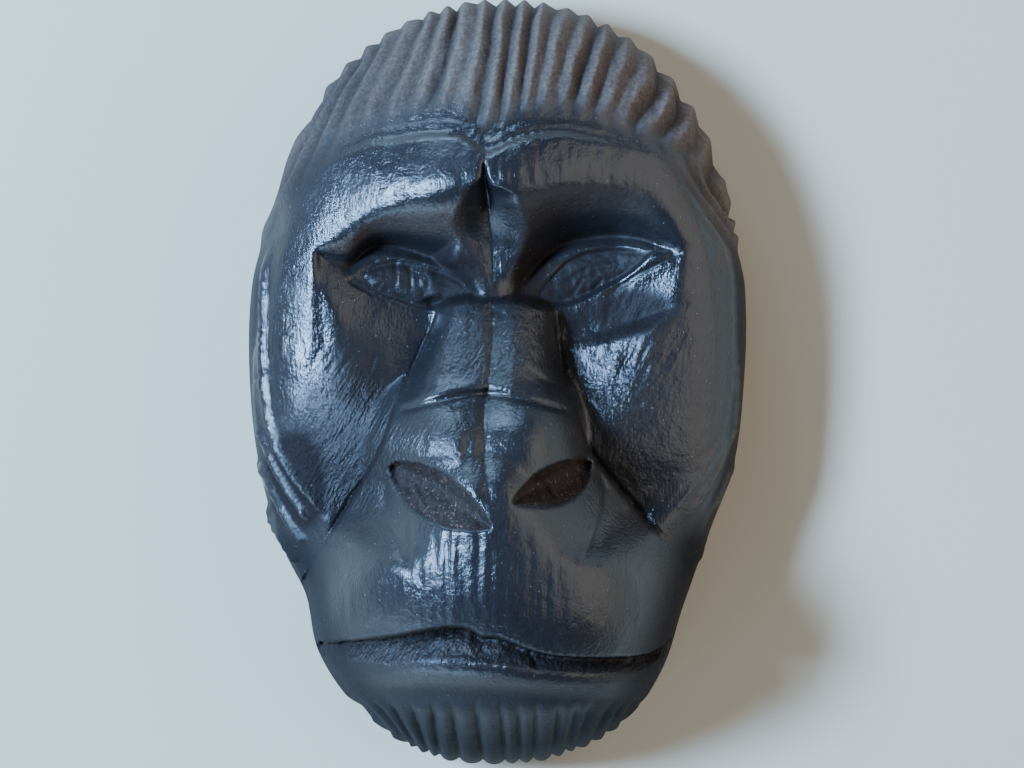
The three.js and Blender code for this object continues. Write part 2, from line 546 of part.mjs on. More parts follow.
// A square laid over the oval: across and along run from -1 to 1, and columns lean with the hair's grooves
function onOval(across, along) {
  const { left, right, between, fade } = HAIR_LEAN;
  const lean = (left + (right - left) * ramp(across, ...between)) * (1 - along) * ramp(along, ...fade);
  const u = across - lean * (1 - across ** 4);
  const a = u * Math.sqrt(1 - (along * along) / 2);
  const b = along * Math.sqrt(1 - (u * u) / 2);
  const share = outlineShare(Math.atan2(b, a));
  return [a * HALF_WIDTH * share, b * HALF_LENGTH * share];
}

const beside = (side, out, y) => [middleAt(y) + (side === 0 ? -out : out), y];

const evenSteps = (from, to, count) =>
  Array.from({ length: count + 1 }, (_, i) => from + ((to - from) * i) / count);

function eyeRim(side) {
  const outs = evenSteps(EYE_TOP[side][0][0], EYE_TOP[side].at(-1)[0], 14);
  const top = outs.map((out) => beside(side, out, eyeTopAt[side](out)));
  const bottom = outs.map((out) => beside(side, out, eyeBottomAt[side](out)));
  return [...top, ...bottom.reverse()];
}

function nostrilRim(side) {
  const { outer, inner, above, below } = NOSTRIL[side];
  const [dx, dy] = [inner[0] - outer[0], inner[1] - outer[1]];
  const length = Math.hypot(dx, dy);
  const at = (along, width) => {
    const reach = (width * leafWidth(along)) / length;
    return beside(side, outer[0] + along * dx + reach * dy, outer[1] + along * dy - reach * dx);
  };
  const shares = evenSteps(0, 1, 14);
  return [...shares.map((along) => at(along, above)), ...shares.reverse().map((along) => at(along, -below))];
}

// Lines that run along facet edges: rims of eyes and nostrils, edge of the upper lip, floor of the valley
const KEPT_LINES = [
  eyeRim(0), eyeRim(1), nostrilRim(0), nostrilRim(1),
  evenSteps(VALLEY_FLOOR[0][0], VALLEY_FLOOR.at(-1)[0], 12).map((y) => beside(0, 0, y)),
  evenSteps(MOUTH.left, MOUTH.right, 40).map((x) => [x, upperLipAt(x)]),
];

function ontoKeptLine(x, y) {
  const near = KEPT_LINES.map((line) => lineDistance(x, y, line));
  const best = near.reduce((a, b) => (a.distance <= b.distance ? a : b));
  return best.distance < KEPT_LINE_REACH ? best.point : [x, y];
}

const grooveWave = (across) => 0.5 + 0.5 * Math.cos(Math.PI * GROOVES * across);

function frontPoint(across, along) {
  const [x, y] = ontoKeptLine(...onOval(across, along).map((value) => value * GRID_SHARE));
  const place = placeOf(x, y);
  const relief = grooveDepth(place, grooveWave(across)) - strokeHeight(place);
  const lean = domeLean(place);
  const shrink = 1 - (relief * lean.sideways) / Math.max(Math.hypot(x, y), 1);
  return [x * shrink, y * shrink, frontHeight(place) - relief * lean.upward];
}

// A point of the side wall, on the widest line or below it, where the grooves die out towards the back
function wallPoint(across, along, share, height) {
  const [x, y] = onOval(across, along);
  const place = placeOf(x, y);
  const relief = (grooveDepth(place, grooveWave(across)) - strokeHeight(place)) * (height / WIDEST_HEIGHT);
  const shrink = share - relief / Math.hypot(x, y);
  return [x * shrink, y * shrink, height];
}

// The square's border as [column, row], anticlockwise
function border() {
  const steps = [];
  for (let i = 0; i < COLUMNS; i += 1) steps.push([i, 0]);
  for (let j = 0; j < rows; j += 1) steps.push([COLUMNS, j]);
  for (let i = COLUMNS; i > 0; i -= 1) steps.push([i, rows]);
  for (let j = rows; j > 0; j -= 1) steps.push([0, j]);
  return steps;
}

const columnPlaces = evenSteps(-1, 1, COLUMNS);
const rowPlaces = [...ROW_BANDS.flatMap(([from, to, count]) => evenSteps(from, to, count).slice(0, -1)), 1];
const rows = rowPlaces.length - 1;

function maskGeometry() {
  const points = rowPlaces.flatMap((along) => columnPlaces.map((across) => frontPoint(across, along)));
  const faces = [];
  const index = (i, j) => j * (COLUMNS + 1) + i;
  const gap = (p, q) => Math.hypot(...points[p].map((value, axis) => value - points[q][axis]));
  for (let j = 0; j < rows; j += 1) {
    for (let i = 0; i < COLUMNS; i += 1) {
      const [a, b, c, d] = [index(i, j), index(i + 1, j), index(i + 1, j + 1), index(i, j + 1)];
      if (gap(a, c) <= gap(b, d)) faces.push([a, b, c], [a, c, d]);
      else faces.push([a, b, d], [b, c, d]);
    }
  }
  const steps = border();
  let above = steps.map(([i, j]) => index(i, j));
  const rings = [[1, WIDEST_HEIGHT], [BACK_EDGE_SHARE, BACK_EDGE_HEIGHT], [BACK_SHARE, 0]];
  for (const [share, height] of rings) {
    const ring = steps.map(([i, j]) => wallPoint(columnPlaces[i], rowPlaces[j], share, height));
    const below = ring.map((point) => points.push(point) - 1);
    steps.forEach((_, k) => {
      const next = (k + 1) % steps.length;
      faces.push([above[k], below[k], below[next]], [above[k], below[next], above[next]]);
    });
    above = below;
  }
  const centre = points.push([0, 0, 0]) - 1;
  above.forEach((point, k) => faces.push([above[(k + 1) % above.length], point, centre]));
  const geometry = new THREE.BufferGeometry();
  geometry.setAttribute('position', new THREE.Float32BufferAttribute(points.flat(), 3));
  geometry.setIndex(faces.flat());
  geometry.computeBoundingBox();
  const { min, max } = geometry.boundingBox;
  geometry.translate(-(min.x + max.x) / 2, -(min.y + max.y) / 2, 0);
  geometry.computeVertexNormals();
  return geometry;
}

const stainedWood = new THREE.MeshStandardMaterial({ color: 0x1c1a1b, roughness: 0.42, metalness: 0 });
const mask = new THREE.Mesh(maskGeometry(), stainedWood);
mask.name = 'gorilla_mask';

const model = new THREE.Group();
model.add(mask);

export default model;
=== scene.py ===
import functools
import math

import bpy
import numpy as np
from bpy.props import FloatProperty, FloatVectorProperty, PointerProperty
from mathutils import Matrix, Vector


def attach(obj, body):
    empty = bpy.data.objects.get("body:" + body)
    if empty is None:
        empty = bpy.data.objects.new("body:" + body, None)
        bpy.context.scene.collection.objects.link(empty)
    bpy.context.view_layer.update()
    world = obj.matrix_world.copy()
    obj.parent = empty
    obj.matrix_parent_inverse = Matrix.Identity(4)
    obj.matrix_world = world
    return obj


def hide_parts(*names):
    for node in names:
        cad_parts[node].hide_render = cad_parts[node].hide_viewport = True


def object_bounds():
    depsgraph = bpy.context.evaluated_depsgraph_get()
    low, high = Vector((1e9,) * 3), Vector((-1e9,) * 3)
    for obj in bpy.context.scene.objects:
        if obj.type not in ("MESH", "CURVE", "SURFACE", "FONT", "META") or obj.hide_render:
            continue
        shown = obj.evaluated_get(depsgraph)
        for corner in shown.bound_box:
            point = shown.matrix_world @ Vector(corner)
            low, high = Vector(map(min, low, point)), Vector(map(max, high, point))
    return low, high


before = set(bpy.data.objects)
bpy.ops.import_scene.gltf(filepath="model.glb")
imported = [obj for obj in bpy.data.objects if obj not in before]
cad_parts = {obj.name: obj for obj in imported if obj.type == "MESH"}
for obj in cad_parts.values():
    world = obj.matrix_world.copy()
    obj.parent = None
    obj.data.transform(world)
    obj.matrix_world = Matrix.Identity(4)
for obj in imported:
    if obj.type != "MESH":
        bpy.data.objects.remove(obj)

bl_info = {
    "name": "Carved gorilla mask",
    "version": (1, 0, 0),
    "blender": (4, 5, 0),
    "location": "3D View > Sidebar > Mask",
    "description": "A small carved and stained wooden mask of a gorilla's face, lying on its flat back",
    "category": "Add Mesh",
}

MM = 0.001
NODE = "gorilla_mask"
CAD_LOW, CAD_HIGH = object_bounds()

# Millimetres: +X to the right of the face, +Y to the crown, +Z out of the face. SOFT is how far the meeting
# of two forms is rounded, and FADE is where a form starts and where it is whole. A bell has its width and
# height, and a slope its steepness, start and rounding.
HALF_WIDTH = 32.4
HALF_LENGTH = 50
WIDEST_HEIGHT = 8
BACK_EDGE_HEIGHT = 1
BACK_EDGE_SHARE = 0.985
BACK_SHARE = 0.965
BACK_ROUNDING = (0.008, 0.25)

# The outline, and the edge of the bare face inside the hair, as points (x, y) from the left side by the chin
OUTLINE = [
    (-32.38, 0), (-30.8, -12.7), (-27.6, -22.7), (-25, -28), (-23.5, -35), (-18.6, -42.4),
    (-11.3, -48.1), (-1.1, -50.1), (8.5, -49), (16.7, -44.6), (21.7, -37.2), (24.3, -29.2),
    (27.6, -19.9), (31, -10.2), (32.2, 0.01), (31.7, 17.8), (26.5, 34.3), (16.9, 45.2), (8.5, 49),
    (0, 50), (-11.2, 47.4), (-21.5, 39.6), (-28.9, 25.7), (-32, 13.2),
]
FACE_EDGE = [
    (-29.9, 0), (-28.1, -10), (-25.6, -14.4), (-22.8, -17.9), (-17.4, -22.5), (0, -25), (17.4, -22.5),
    (22.8, -17.9), (25.9, -14.5), (27.7, -7.5), (28.4, 0.01), (27.8, 9.9), (27, 16), (25.6, 21),
    (23.7, 24.7), (21.4, 28.4), (17, 29.8), (12.8, 30.5), (8.5, 31.2), (5.5, 31), (2.4, 30.3),
    (0.4, 29.4), (-1.4, 28.7), (-3.2, 30), (-5.2, 31.1), (-7.6, 31.1), (-12.5, 30.6), (-18.4, 29.4),
    (-22.6, 27.2), (-25, 24), (-26.8, 19.3), (-29.2, 7.9),
]
# The middle line wanders with the carver's hand: (y, x)
MIDDLE = [
    (-50, 0), (-32, 0.4), (-23, 0), (-15.7, -0.9), (-9, -1.6), (-2.6, -1.6), (4, -1), (10.4, -1), (17, -0.8),
    (23.5, -1.3), (28.4, -1.7), (50, -1),
]

# The dome of the head
SIDE_RISE = 13.5
BROW_BELL = (17, 9)
BROW_FADE = (4, 22)
# Above the brows the head falls back to the hair
BROW_SETBACK = 0.36
BROW_SETBACK_FROM = (23.8, 34.2)
DOME_POWER = 4
HAIR_DROP_MIDDLE = 1.1
HAIR_DROP_SIDE = 0.5
HAIR_DROP_FADE = (-24, -14)
# The shelf over the brows, between four angles round the face
SHELF_WIDTH = 2.5
SHELF_LEAST_SLOPE = 2.4
SHELF_DEGREES = (35, 75, 105, 147)
# Radii meet the edge of the face at a slant: the distance straight to it is this share of the radial one
EDGE_SLANT = 0.9

# Sockets and cheeks. Lines of each side, left then right, run outwards as (distance from the middle line, y)
BROW_LINE = [
    [(0, 25), (2, 24.1), (5, 22.7), (7.6, 21.9), (11.5, 21.5), (15.4, 20.4), (18, 18.9), (20.6, 17.6),
     (26, 16.6)],
    [(0, 24.6), (3.5, 23.8), (8.1, 24.8), (12, 25.3), (15.9, 25.3), (19.8, 24.5), (22.4, 22.6), (25.1, 18.9),
     (27, 17.3)],
]
LID_LINE = [
    [(0, 10.6), (2.4, 13), (4.3, 15.2), (6.3, 16.2), (8.9, 17.1), (11.5, 17.9), (14.7, 18.1), (16.6, 17.2),
     (18.3, 15.5), (20.4, 15.8), (23, 16.5)],
    [(0, 10.3), (2.2, 10.6), (3.5, 12.3), (4.8, 14.4), (6.8, 16.6), (8.7, 18), (10.7, 18.8), (14.6, 19.4),
     (17.5, 19.4), (20, 18.9), (22, 18.1), (27, 17)],
]
# Inner side of the rim beside each cheek, as (y, distance), and how wide its slope is, as (y, width)
RIM_LINE = [
    [(-12, 20), (-4, 21), (2, 22), (9, 22.3), (20, 22.5)],
    [(-12, 21), (-4, 22), (2, 24), (9, 25), (20, 26)],
]
RIM_SLOPE = [
    [(-8, 9), (0, 6.4), (4, 3.4), (8, 2), (16, 1.4)],
    [(-8, 9), (0, 8), (6, 7), (10, 5.5), (16, 4)],
]
RIM_INSIDE_SHARE = 0.4
BROW_SOFT = 0.4
BROW_FOOT_SOFT = 0.1
BROW_LEAST_HEIGHT = 0.6
SOCKET_HEIGHT = 16.8
SOCKET_LEAST_DEPTH = 0.3
SOCKET_SOFT = 0.8
BETWEEN_EYES = (4.2, 3)
# The right cheek starts below a fold under the lower lid, (distance, y)
CHEEK_FOLD = [(9, 5.2), (12, 5.4), (20, 7.4), (24, 9)]
CHEEK_FOLD_SHARE = 0.8
CHEEK_FOLD_SOFT = (-1.5, 1.2)
# Below this height the cheek turns down towards the jaw
CHEEK_TURN = (0.3, 9, 2)
CHEEK_TURN_FADE = (0, 5)
CHEEK_OUTWARD = (0.26, 9, 2)
CHEEK_OUTWARD_FADE = (-17, -5)
CHEEK_DOWNWARD = (0.13, -8, 6)
SOCKET_RIM = (0.3, 16.5, 1)
SOCKET_RIM_FADE = (4, 12)
LOWER_CHEEK = (-1, 12)
LID_GROOVE_DEPTH = 1
LID_GROOVE_BELOW = 0.6
LID_GROOVE_WIDTH = 0.8
LID_GROOVE_FROM = 3
LID_GROOVE_TO = (17, 22)
LID_GROOVE_FADE = 3

# The valley between the brows, as (y, height of its floor), and per side as (y, slope) and (y, half width)
VALLEY_FLOOR = [
    (9, 21.4), (11, 20.9), (13, 20.3), (15, 20), (18.5, 20.4), (22, 21.8), (24, 23), (26, 24.8), (28.5, 26.8),
    (31, 28.6), (34, 32),
]
VALLEY_SLOPE = [
    [(10, 0.1), (15, 0.3), (18.5, 0.32), (20.5, 0.7), (22, 1.1), (23.7, 1.5), (24.6, 1.7), (25.4, 2.6),
     (26.2, 5), (28.3, 4.5)],
    [(10, 0.1), (15, 0.2), (18.5, 0.36), (20.5, 0.7), (22.5, 1.2), (24.6, 2.2), (25.3, 6), (26.5, 9)],
]
VALLEY_WIDTH = [
    [(10, 0.6), (12, 1.9), (14.4, 3.6), (15.6, 4.8), (17, 4.8), (18.5, 4), (20, 2), (22, 0.5)],
    [(10, 1), (12, 1.6), (15, 2), (17, 2.4), (18.5, 2.6), (20, 2.4), (22, 1.6)],
]
VALLEY_SIDE_FALL = (2.2, 1.1)
VALLEY_SIDE_SOFT = (0.7, 1)
VALLEY_SOFT = (0.3, 0.8)
# The V stands proud as a ridge from just below the bridge's top up to here, where it drops away
VALLEY_RIDGE_TOP = (21.5, 24)
VALLEY_RIDGE_DROP = 60
VALLEY_RIDGE_BELOW = 1
VALLEY_RIDGE_SOFT = 0.3

# Eyes: upper and lower rim of the almond on each side, as (distance from the middle line, y)
EYE_TOP = [
    [(3, 11.6), (4.3, 13.5), (6.3, 14.6), (8.2, 15.3), (10.2, 15.8), (12.1, 16.1), (13.4, 15.9), (15.1, 15.3),
     (17, 13.9)],
    [(5.6, 9.9), (6.8, 12.3), (7.8, 13.9), (8.9, 15.2), (10.3, 16.3), (12, 17), (14.6, 17.4), (17.2, 17.3),
     (20.8, 16.6)],
]
EYE_BOTTOM = [
    [(3, 11.6), (3.9, 10.6), (5, 9.6), (6.5, 8.9), (8.2, 8.9), (10.2, 9.4), (12.1, 10.2), (14.4, 11),
     (17, 13.9)],
    [(5.6, 9.9), (7.4, 9.7), (9.4, 9.7), (11, 10), (12.7, 10.8), (14.6, 11.9), (16.6, 13), (18.5, 14.4),
     (20.8, 16.6)],
]
# The right lower lid stands proud below the eye and falls to the cheek
LID_PAD = (3.2, 0.6)
LID_PAD_SOFT = 0.2
LID_PAD_EDGE = (-0.5, 0.3)
LID_PAD_ENDS = (6, 10, 20, 24)
EYE_BULGE = (1.5, 1)
EYE_ROUNDNESS = 0.7
EYE_SINK = 1.1
EYE_RIM_SHARE = 0.25
EYE_FULL_HALF_HEIGHT = 3

# Nose
BRIDGE_HALF_WIDTH = [
    [(-4, 12), (-2.6, 11.4), (-0.6, 10.6), (4.6, 8.6), (8.5, 6.9), (11, 6.4)],
    [(-4, 12), (-2.6, 11.4), (-0.6, 10.4), (4.6, 8.8), (9, 8.4), (11, 8)],
]
BRIDGE_TOP = 10.4
BRIDGE_HEIGHT = 22.1
BRIDGE_SLOPE = 0.54
BRIDGE_FOOT = 18
BRIDGE_POWER = (6, 5)
BRIDGE_SIDE_SLOPE = (0.06, 0.3)
BRIDGE_SIDE_FROM = (0, 3)
BRIDGE_SIDE_SOFT = 0.6
BRIDGE_REACH = 1.3
BRIDGE_GROOVE = (0.3, 0.75)
BRIDGE_GROOVE_WIDTH = (1.2, 3.2)
BRIDGE_GROOVE_SOFT = 0.12
# The step at its top: how deep, from and to which y over the top, and how its line droops beyond the middle
BRIDGE_STEP = 4
BRIDGE_STEP_FADE = (-0.4, 1.6)
BRIDGE_STEP_DROOP = (0.22, 3, 0.5)
BRIDGE_OVER_TOP = 2
BRIDGE_SOFT = 0.8
BRIDGE_RIM = (0.8, 0.35)
BRIDGE_RIM_ABOVE = 1.1
BALL_HEIGHT = 34
BALL_Y = -9.8
BALL_FLAT = (3, 4.4)
BALL_SIDE_FALL = (7.5, 9)
BALL_SIDE_REACH = (9.1, 7.7)
BALL_SIDE_POWER = (1.8, 2.3)
BALL_SIDE_SOFT = 1.5
BALL_DIP = (3.4, 0.5)
BALL_END_FALL = 6.5
BALL_END_REACH = 8.6
BALL_END_POWER = 2.2
BALL_SOFT = 1
NOSE_GROOVE_DEPTH = 0.8
NOSE_GROOVE_WIDTH = 1.1
NOSE_GROOVE_ENDS = (0, 3, 13.5, 17)
NOSTRIL_OUTER = [(12.3, -10.8), (13.5, -10.4)]
NOSTRIL_INNER = [(0.2, -18.6), (2.8, -15.4)]
NOSTRIL_ABOVE = (3.1, 2.1)
NOSTRIL_BELOW = (3.9, 3.3)
NOSTRIL_DEPTH = 3.8
NOSTRIL_LEAF_POWERS = (0.85, 0.7)
NOSTRIL_END_POWER = 0.6
NOSTRIL_STEEPNESS = 1.6
NOSE_CREASE = [(0, -1.55), (3, -1.85), (6, -2.55), (9, -3.35), (11.4, -3.95)]
NOSE_CREASE_CUT = (0.45, 0.6)
NOSE_CREASE_FADE = (9.5, 12)

# Muzzle: rise over the widest line down its length, as (y, rise)
MUZZLE_RISE = [(-50, 31.3), (-42, 33.3), (-33, 34.8), (-22, 32.4), (-15, 31.4), (0, 30)]
MUZZLE_POWER = 2.05
MUZZLE_KEEL = (0.12, 0.02)
MUZZLE_KEEL_ROUND = 1.5
# Outside the nose the muzzle meets the cheek along a slanting line through this corner
MUZZLE_CORNER = (14.8, -11)
MUZZLE_INSIDE_CORNER = 4
MUZZLE_NORMAL = (-0.809, -0.588)
MUZZLE_BEND = [(-30, 0), (-18, 0.1), (-11, 0), (-7.7, 0.5), (-2.6, 2.2), (2, 4)]
MUZZLE_STEP = 0.2
MUZZLE_STEP_SLOPE = 1.6
MUZZLE_STEP_SOFT = (0.6, 3)
MUZZLE_TOP_HEIGHT = 20
MUZZLE_TOP_Y = 3
MUZZLE_TOP_SLOPE = 1.15
MUZZLE_TOP_SOFT = 2
FOLD = (1, 0.3)
FOLD_FADE = (0.6, 1)
FOLD_LINE = [
    [(12.9, -10.6), (13.4, -14), (13, -18), (12, -22), (10, -25), (7.6, -27.6)],
    [(14.3, -11.5), (15.2, -14.5), (15.2, -16.5), (14.2, -19.5), (12.9, -22), (12, -25.5)],
]

# Mouth, as (x, y)
UPPER_LIP = [
    (-26, -34.4), (-23, -34), (-21, -33.6), (-17, -33.1), (-12.6, -32.4), (-8, -31.4), (-5.5, -31.1),
    (-3.4, -31.4), (-2, -32.3), (0, -32.4), (2, -33.2), (5, -34.4), (8, -35), (14, -35.3), (18.7, -35.2),
    (20.6, -34.6), (22.4, -33.6), (25, -32),
]
LOWER_LIP = [
    (-26, -34.6), (-23, -35.4), (-21, -36), (-17, -36.5), (-12.6, -36.6), (-8.7, -36), (-2.3, -36.3),
    (2, -36.7), (7, -37.2), (13.4, -37.7), (18.7, -37.2), (20.6, -36.2), (22.4, -34.6), (25, -32.4),
]
MOUTH_LEFT = -24.6
MOUTH_RIGHT = 23.6
MOUTH_CORNER = 4.6
MOUTH_CORNER_DEPTH = 1.2
MOUTH_DEPTH = 4.2
MOUTH_UNDERCUT = 0.2
MOUTH_EDGE = (-0.02, 0.1)
MOUTH_POWER = 1.1
LIP_BACK_DEPTH = 1.3
LIP_BACK_FADE = (-0.1, 0.5)
LIP_BACK_CORNERS = (21.6, 25.6)
LIP_ROLL = (1.5, 0.9)
LIP_ROLL_BELOW = 1.3
CHIN_CREASE = (0.9, 0.4)
CHIN_CREASE_Y = -40.3
CHIN_CREASE_DROOP = 0.003
CHIN_CREASE_FADE = (14, 20)

# Gouged hair, beard and side strokes
GROOVES = 18
HAIR_DEPTH = 1.05
# From the shelf's far side outwards, and up the sides of the face
HAIR_EDGE = (-0.3, 5)
HAIR_FADE = (12, 22)
HAIR_LEAN_LEFT = 0.35
HAIR_LEAN_RIGHT = 0.95
HAIR_LEAN_BETWEEN = (-0.1, 0.7)
HAIR_LEAN_FADE = (0.45, 0.7)
# The grooves' wander as (share of a groove, size on a face 16 wide and long, seed)
HAIR_WANDER = [(0.17, 1.7, 11), (0.08, 0.45, 12)]
HAIR_WANDER_SPAN = 8
# Where each crest stands between its grooves, on the left and how much later on the right
CREST_PLACE = 0.42
CREST_SHIFT = 0.1
GROOVE_DEEPNESS = 0.85
GROOVE_DEEPNESS_RANGE = 0.3
GROOVE_DEEPNESS_SEED = 13
GROOVE_CREST_ROUNDING = 0.08
GROOVE_SOFT = 0.12
BEARD_DEPTH = 0.8
BEARD_FADE = (-43.5, -40.8)
STROKE_LEFT = 0.85
STROKE_RIGHT = 0.3
STROKE_HALF_WIDTH = 0.7
STROKE_SOFT = 0.1
STROKE_ENDS = (0, 0.15, 0.9, 1)
STROKE_EVENNESS = 0.9
STROKE_BREAKS = 0.2
STROKE_BREAK_SIZE = 0.6
STROKE_BREAK_SEED = 34
STROKE_LINES = [
    [(-29.4, 19), (-30.3, 13.9), (-30.5, 4), (-30.3, -1), (-29.8, -4.9), (-28.6, -8.7), (-26.3, -12.6),
     (-24, -15.2), (-22.2, -17.2)],
    [(-31.3, 8), (-31.2, -2), (-30.8, -6.7), (-29.4, -9.9), (-27.8, -13), (-25.9, -16), (-24.3, -18.4)],
    [(-31.4, -9.9), (-30, -12.6), (-28.6, -15.6), (-26.7, -18.8), (-24.8, -21.3)],
    [(-30.3, -15.6), (-29, -18.8), (-27.4, -21.6), (-26, -23.6)],
]

# Beard grooves, from the chin crease to the bottom edge, as two ends (x, y)
BEARD_GROOVES = [
    [(-22.6, -38.4), (-18.6, -42.6)], [(-20.7, -39.8), (-16.9, -44.4)], [(-19, -40.7), (-14.2, -46.2)],
    [(-16.9, -40.5), (-11.8, -47.8)], [(-14.6, -40.2), (-10.4, -49)], [(-11.6, -40.6), (-8.9, -49.6)],
    [(-8.5, -40.5), (-7.6, -50)], [(-5.9, -41), (-5, -50.4)], [(-2.9, -40.7), (-1.9, -50.4)],
    [(0.4, -41), (1, -50.4)], [(2.7, -40.7), (2.9, -50.4)], [(5.1, -41.4), (4.7, -50)],
    [(8.1, -41.9), (7.2, -49.6)], [(10.5, -41.6), (9, -49)], [(12.6, -40.5), (10.4, -48.2)],
    [(15.3, -40.5), (12.4, -47.4)], [(17.3, -39.8), (14.3, -46.4)], [(19.4, -39), (16.2, -44.8)],
    [(21.2, -37.6), (18.6, -42)],
]
BEARD_GROOVE_HALF_WIDTH = 0.5

# Knife cuts, as points (x, y), depth and half width
CUT_SOFT = 0.15
CUT_ENDS = (-0.02, 0.12, 0.88, 1.02)
CUTS = [
    ([(-13.2, 15.6), (-13.1, 12.7)], 0.35, 0.3),
    ([(-11.4, 14.9), (-11.2, 11.6)], 0.35, 0.3),
    ([(-17.6, 13.5), (-16.6, 14.4), (-13.6, 15.2)], 0.25, 0.3),
    ([(-19.2, 13.2), (-15.9, 11.2)], 0.4, 0.4),
    ([(9.5, 10.9), (11.1, 13.4), (13.5, 14.2)], 0.3, 0.3),
    ([(12.2, 11.4), (13.7, 13.5)], 0.3, 0.3),
    ([(-6.4, 31.6), (-3.2, 32.2)], 0.5, 0.35),
    ([(4.3, -35), (5.2, -36.8)], 0.6, 0.4),
    ([(3.4, 1.6), (5.9, 0.2), (8.9, -0.9)], 0.3, 0.4),
    ([(-5.9, -3.5), (-2.9, -2.4)], 0.3, 0.35),
    ([(15.8, -15.5), (17.4, -21.4), (18.3, -24.6)], 0.2, 0.7),
    ([(13.1, -11.6), (13.9, -13.8), (13.7, -16.1), (12.5, -19.4), (10.8, -23.3)], 0.32, 0.5),
    ([(-14.6, -10.3), (-14.5, -15.5), (-13.1, -20.1), (-11.4, -24)], 0.18, 0.5),
    ([(8, 12.4), (12.4, 15.1), (16, 16)], 0.25, 0.35),
    ([(13.5, 10.6), (18.5, 14), (24.6, 17)], 0.3, 0.5),
    ([(-15.7, 3.8), (-16.4, 1)], 0.15, 0.35),
    ([(3.4, 8.6), (4.4, 6.6), (6.2, 5.4)], 0.12, 0.35),
    ([(-9.6, 6.6), (-7.6, 5.2), (-6.6, 5.4)], 0.2, 0.3),
    ([(-10.6, 3), (-8.2, 1.6)], 0.2, 0.3),
]

# The dark groove where bridge and muzzle meet the cheeks
MUZZLE_GROOVE_DEPTH = 0.5
MUZZLE_GROOVE_WIDTH = 0.32
MUZZLE_GROOVE_OUT = 10
MUZZLE_GROOVE_FADE = (1, 4)
MUZZLE_GROOVE_EDGE = (-2, 1)
BESIDE_BRIDGE = (-4, -1, 8, 10)
# Eye corner cut deep with the knife's point, as an oval patch
EYE_CORNER = (-8.1, 10.3, 1.8, 0.9)
EYE_CORNER_DEPTH = 0.7
EYE_CORNER_FADE = (0.4, 1)
# The knife ran along the shelf over the brows
SHELF_CUT = (0.6, 0.45)
SHELF_CUT_BEYOND = 1

# The fine surface's grid
COLUMNS = GROOVES * 14
ROWS = 340
GRID_SHARE = 0.985
WALL_RINGS = 6
# The smallest heights and widths that others are divided by
LEAST_HEIGHT = 0.05
LEAST_WIDTH = 0.02

# The camera looks straight down on the lying mask; the photograph's frame is 1024 by 768
CAMERA_DISTANCE = 0.9
CAMERA_SIDE = 0.0019
CAMERA_UP = -0.0003
FRAME_WIDTH = 0.1338
SENSOR_WIDTH = 36
# Soft boxes: name, direction from the mask, distance in metres, width and height, colour
LIGHTS = [
    ("key", (-0.7, 0.13, 0.7), 0.85, (0.28, 0.16), (0.35, 0.6, 1.0)),
    ("upper", (-0.3, 0.93, 0.2), 0.85, (0.4, 0.15), (0.4, 0.66, 1.0)),
    ("fill", (0.8, 0.1, 0.5), 0.8, (1.2, 0.9), (1.0, 0.95, 0.87)),
    ("low", (-0.5, -0.82, 0.22), 0.8, (0.8, 0.3), (0.45, 0.68, 1.0)),
]
STUDIO_STRENGTH = 0.19
FLOOR_HALF_WIDTH = 2.0
FLOOR_GAP = 0.0001


def soft_min(a, b, soft):
    """The smaller of two, rounded where they meet: half of a + b - sqrt((a - b)^2 + soft^2)."""
    return (a + b - np.sqrt((a - b) ** 2 + soft * soft)) / 2


def soft_max(a, b, soft):
    """The larger of two, rounded where they meet: half of a + b + sqrt((a - b)^2 + soft^2)."""
    return (a + b + np.sqrt((a - b) ** 2 + soft * soft)) / 2


def bump(distance, width, height=1):
    """A bell: height times e to the minus (distance / width) squared."""
    return height * np.exp(-((distance / width) ** 2))


def ramp(value, low, high):
    """0 below low and 1 above high, with 3 s^2 - 2 s^3 between."""
    share = np.clip((value - low) / (high - low), 0, 1)
    return share * share * (3 - 2 * share)


def between(value, low, low_end, high, high_end):
    """0 before low and after high_end, 1 from low_end to high: a ramp up times a ramp down."""
    return ramp(value, low, low_end) * (1 - ramp(value, high, high_end))


def slope_from(value, slope, start, soft):
    """Nothing before the start, then slope * (value - start), rounded at the start."""
    return slope * soft_max(value - start, 0, soft)


def curve(points):
    """A smooth curve through points (t, value): cubics whose slope at a point is its neighbours' slope."""
    table = np.array(points, float)
    where, value = table[:, 0], table[:, 1]
    before = np.r_[0, np.arange(len(where) - 1)]
    after = np.r_[np.arange(1, len(where)), len(where) - 1]
    slope = (value[after] - value[before]) / (where[after] - where[before])

    def at(t):
        t = np.clip(t, where[0], where[-1])
        i = np.clip(np.searchsorted(where, t, side="right") - 1, 0, len(where) - 2)
        span = where[i + 1] - where[i]
        s = (t - where[i]) / span
        start = (1 + 2 * s) * (1 - s) ** 2 * value[i] + s * (1 - s) ** 2 * span * slope[i]
        return start + s * s * (3 - 2 * s) * value[i + 1] + s * s * (s - 1) * span * slope[i + 1]

    return at


def closed_outline(points):
    """A closed outline through points (x, y), as its share of the ellipse's radius at each angle."""
    table = np.array(points, float) / (HALF_WIDTH, HALF_LENGTH)
    angle = np.arctan2(table[:, 1], table[:, 0])
    angle[0] = -math.pi
    share = np.hypot(table[:, 0], table[:, 1])
    angles = np.r_[angle[-2:] - 2 * math.pi, angle, angle[:3] + 2 * math.pi]
    return curve(np.c_[angles, np.r_[share[-2:], share, share[:3]]])


def pair(tables):
    """A curve for each side of the face, as a function of the place and of where along the curve."""
    left, right = (curve(table) for table in tables)
    return lambda p, t: p.of_side((left(t), right(t)))


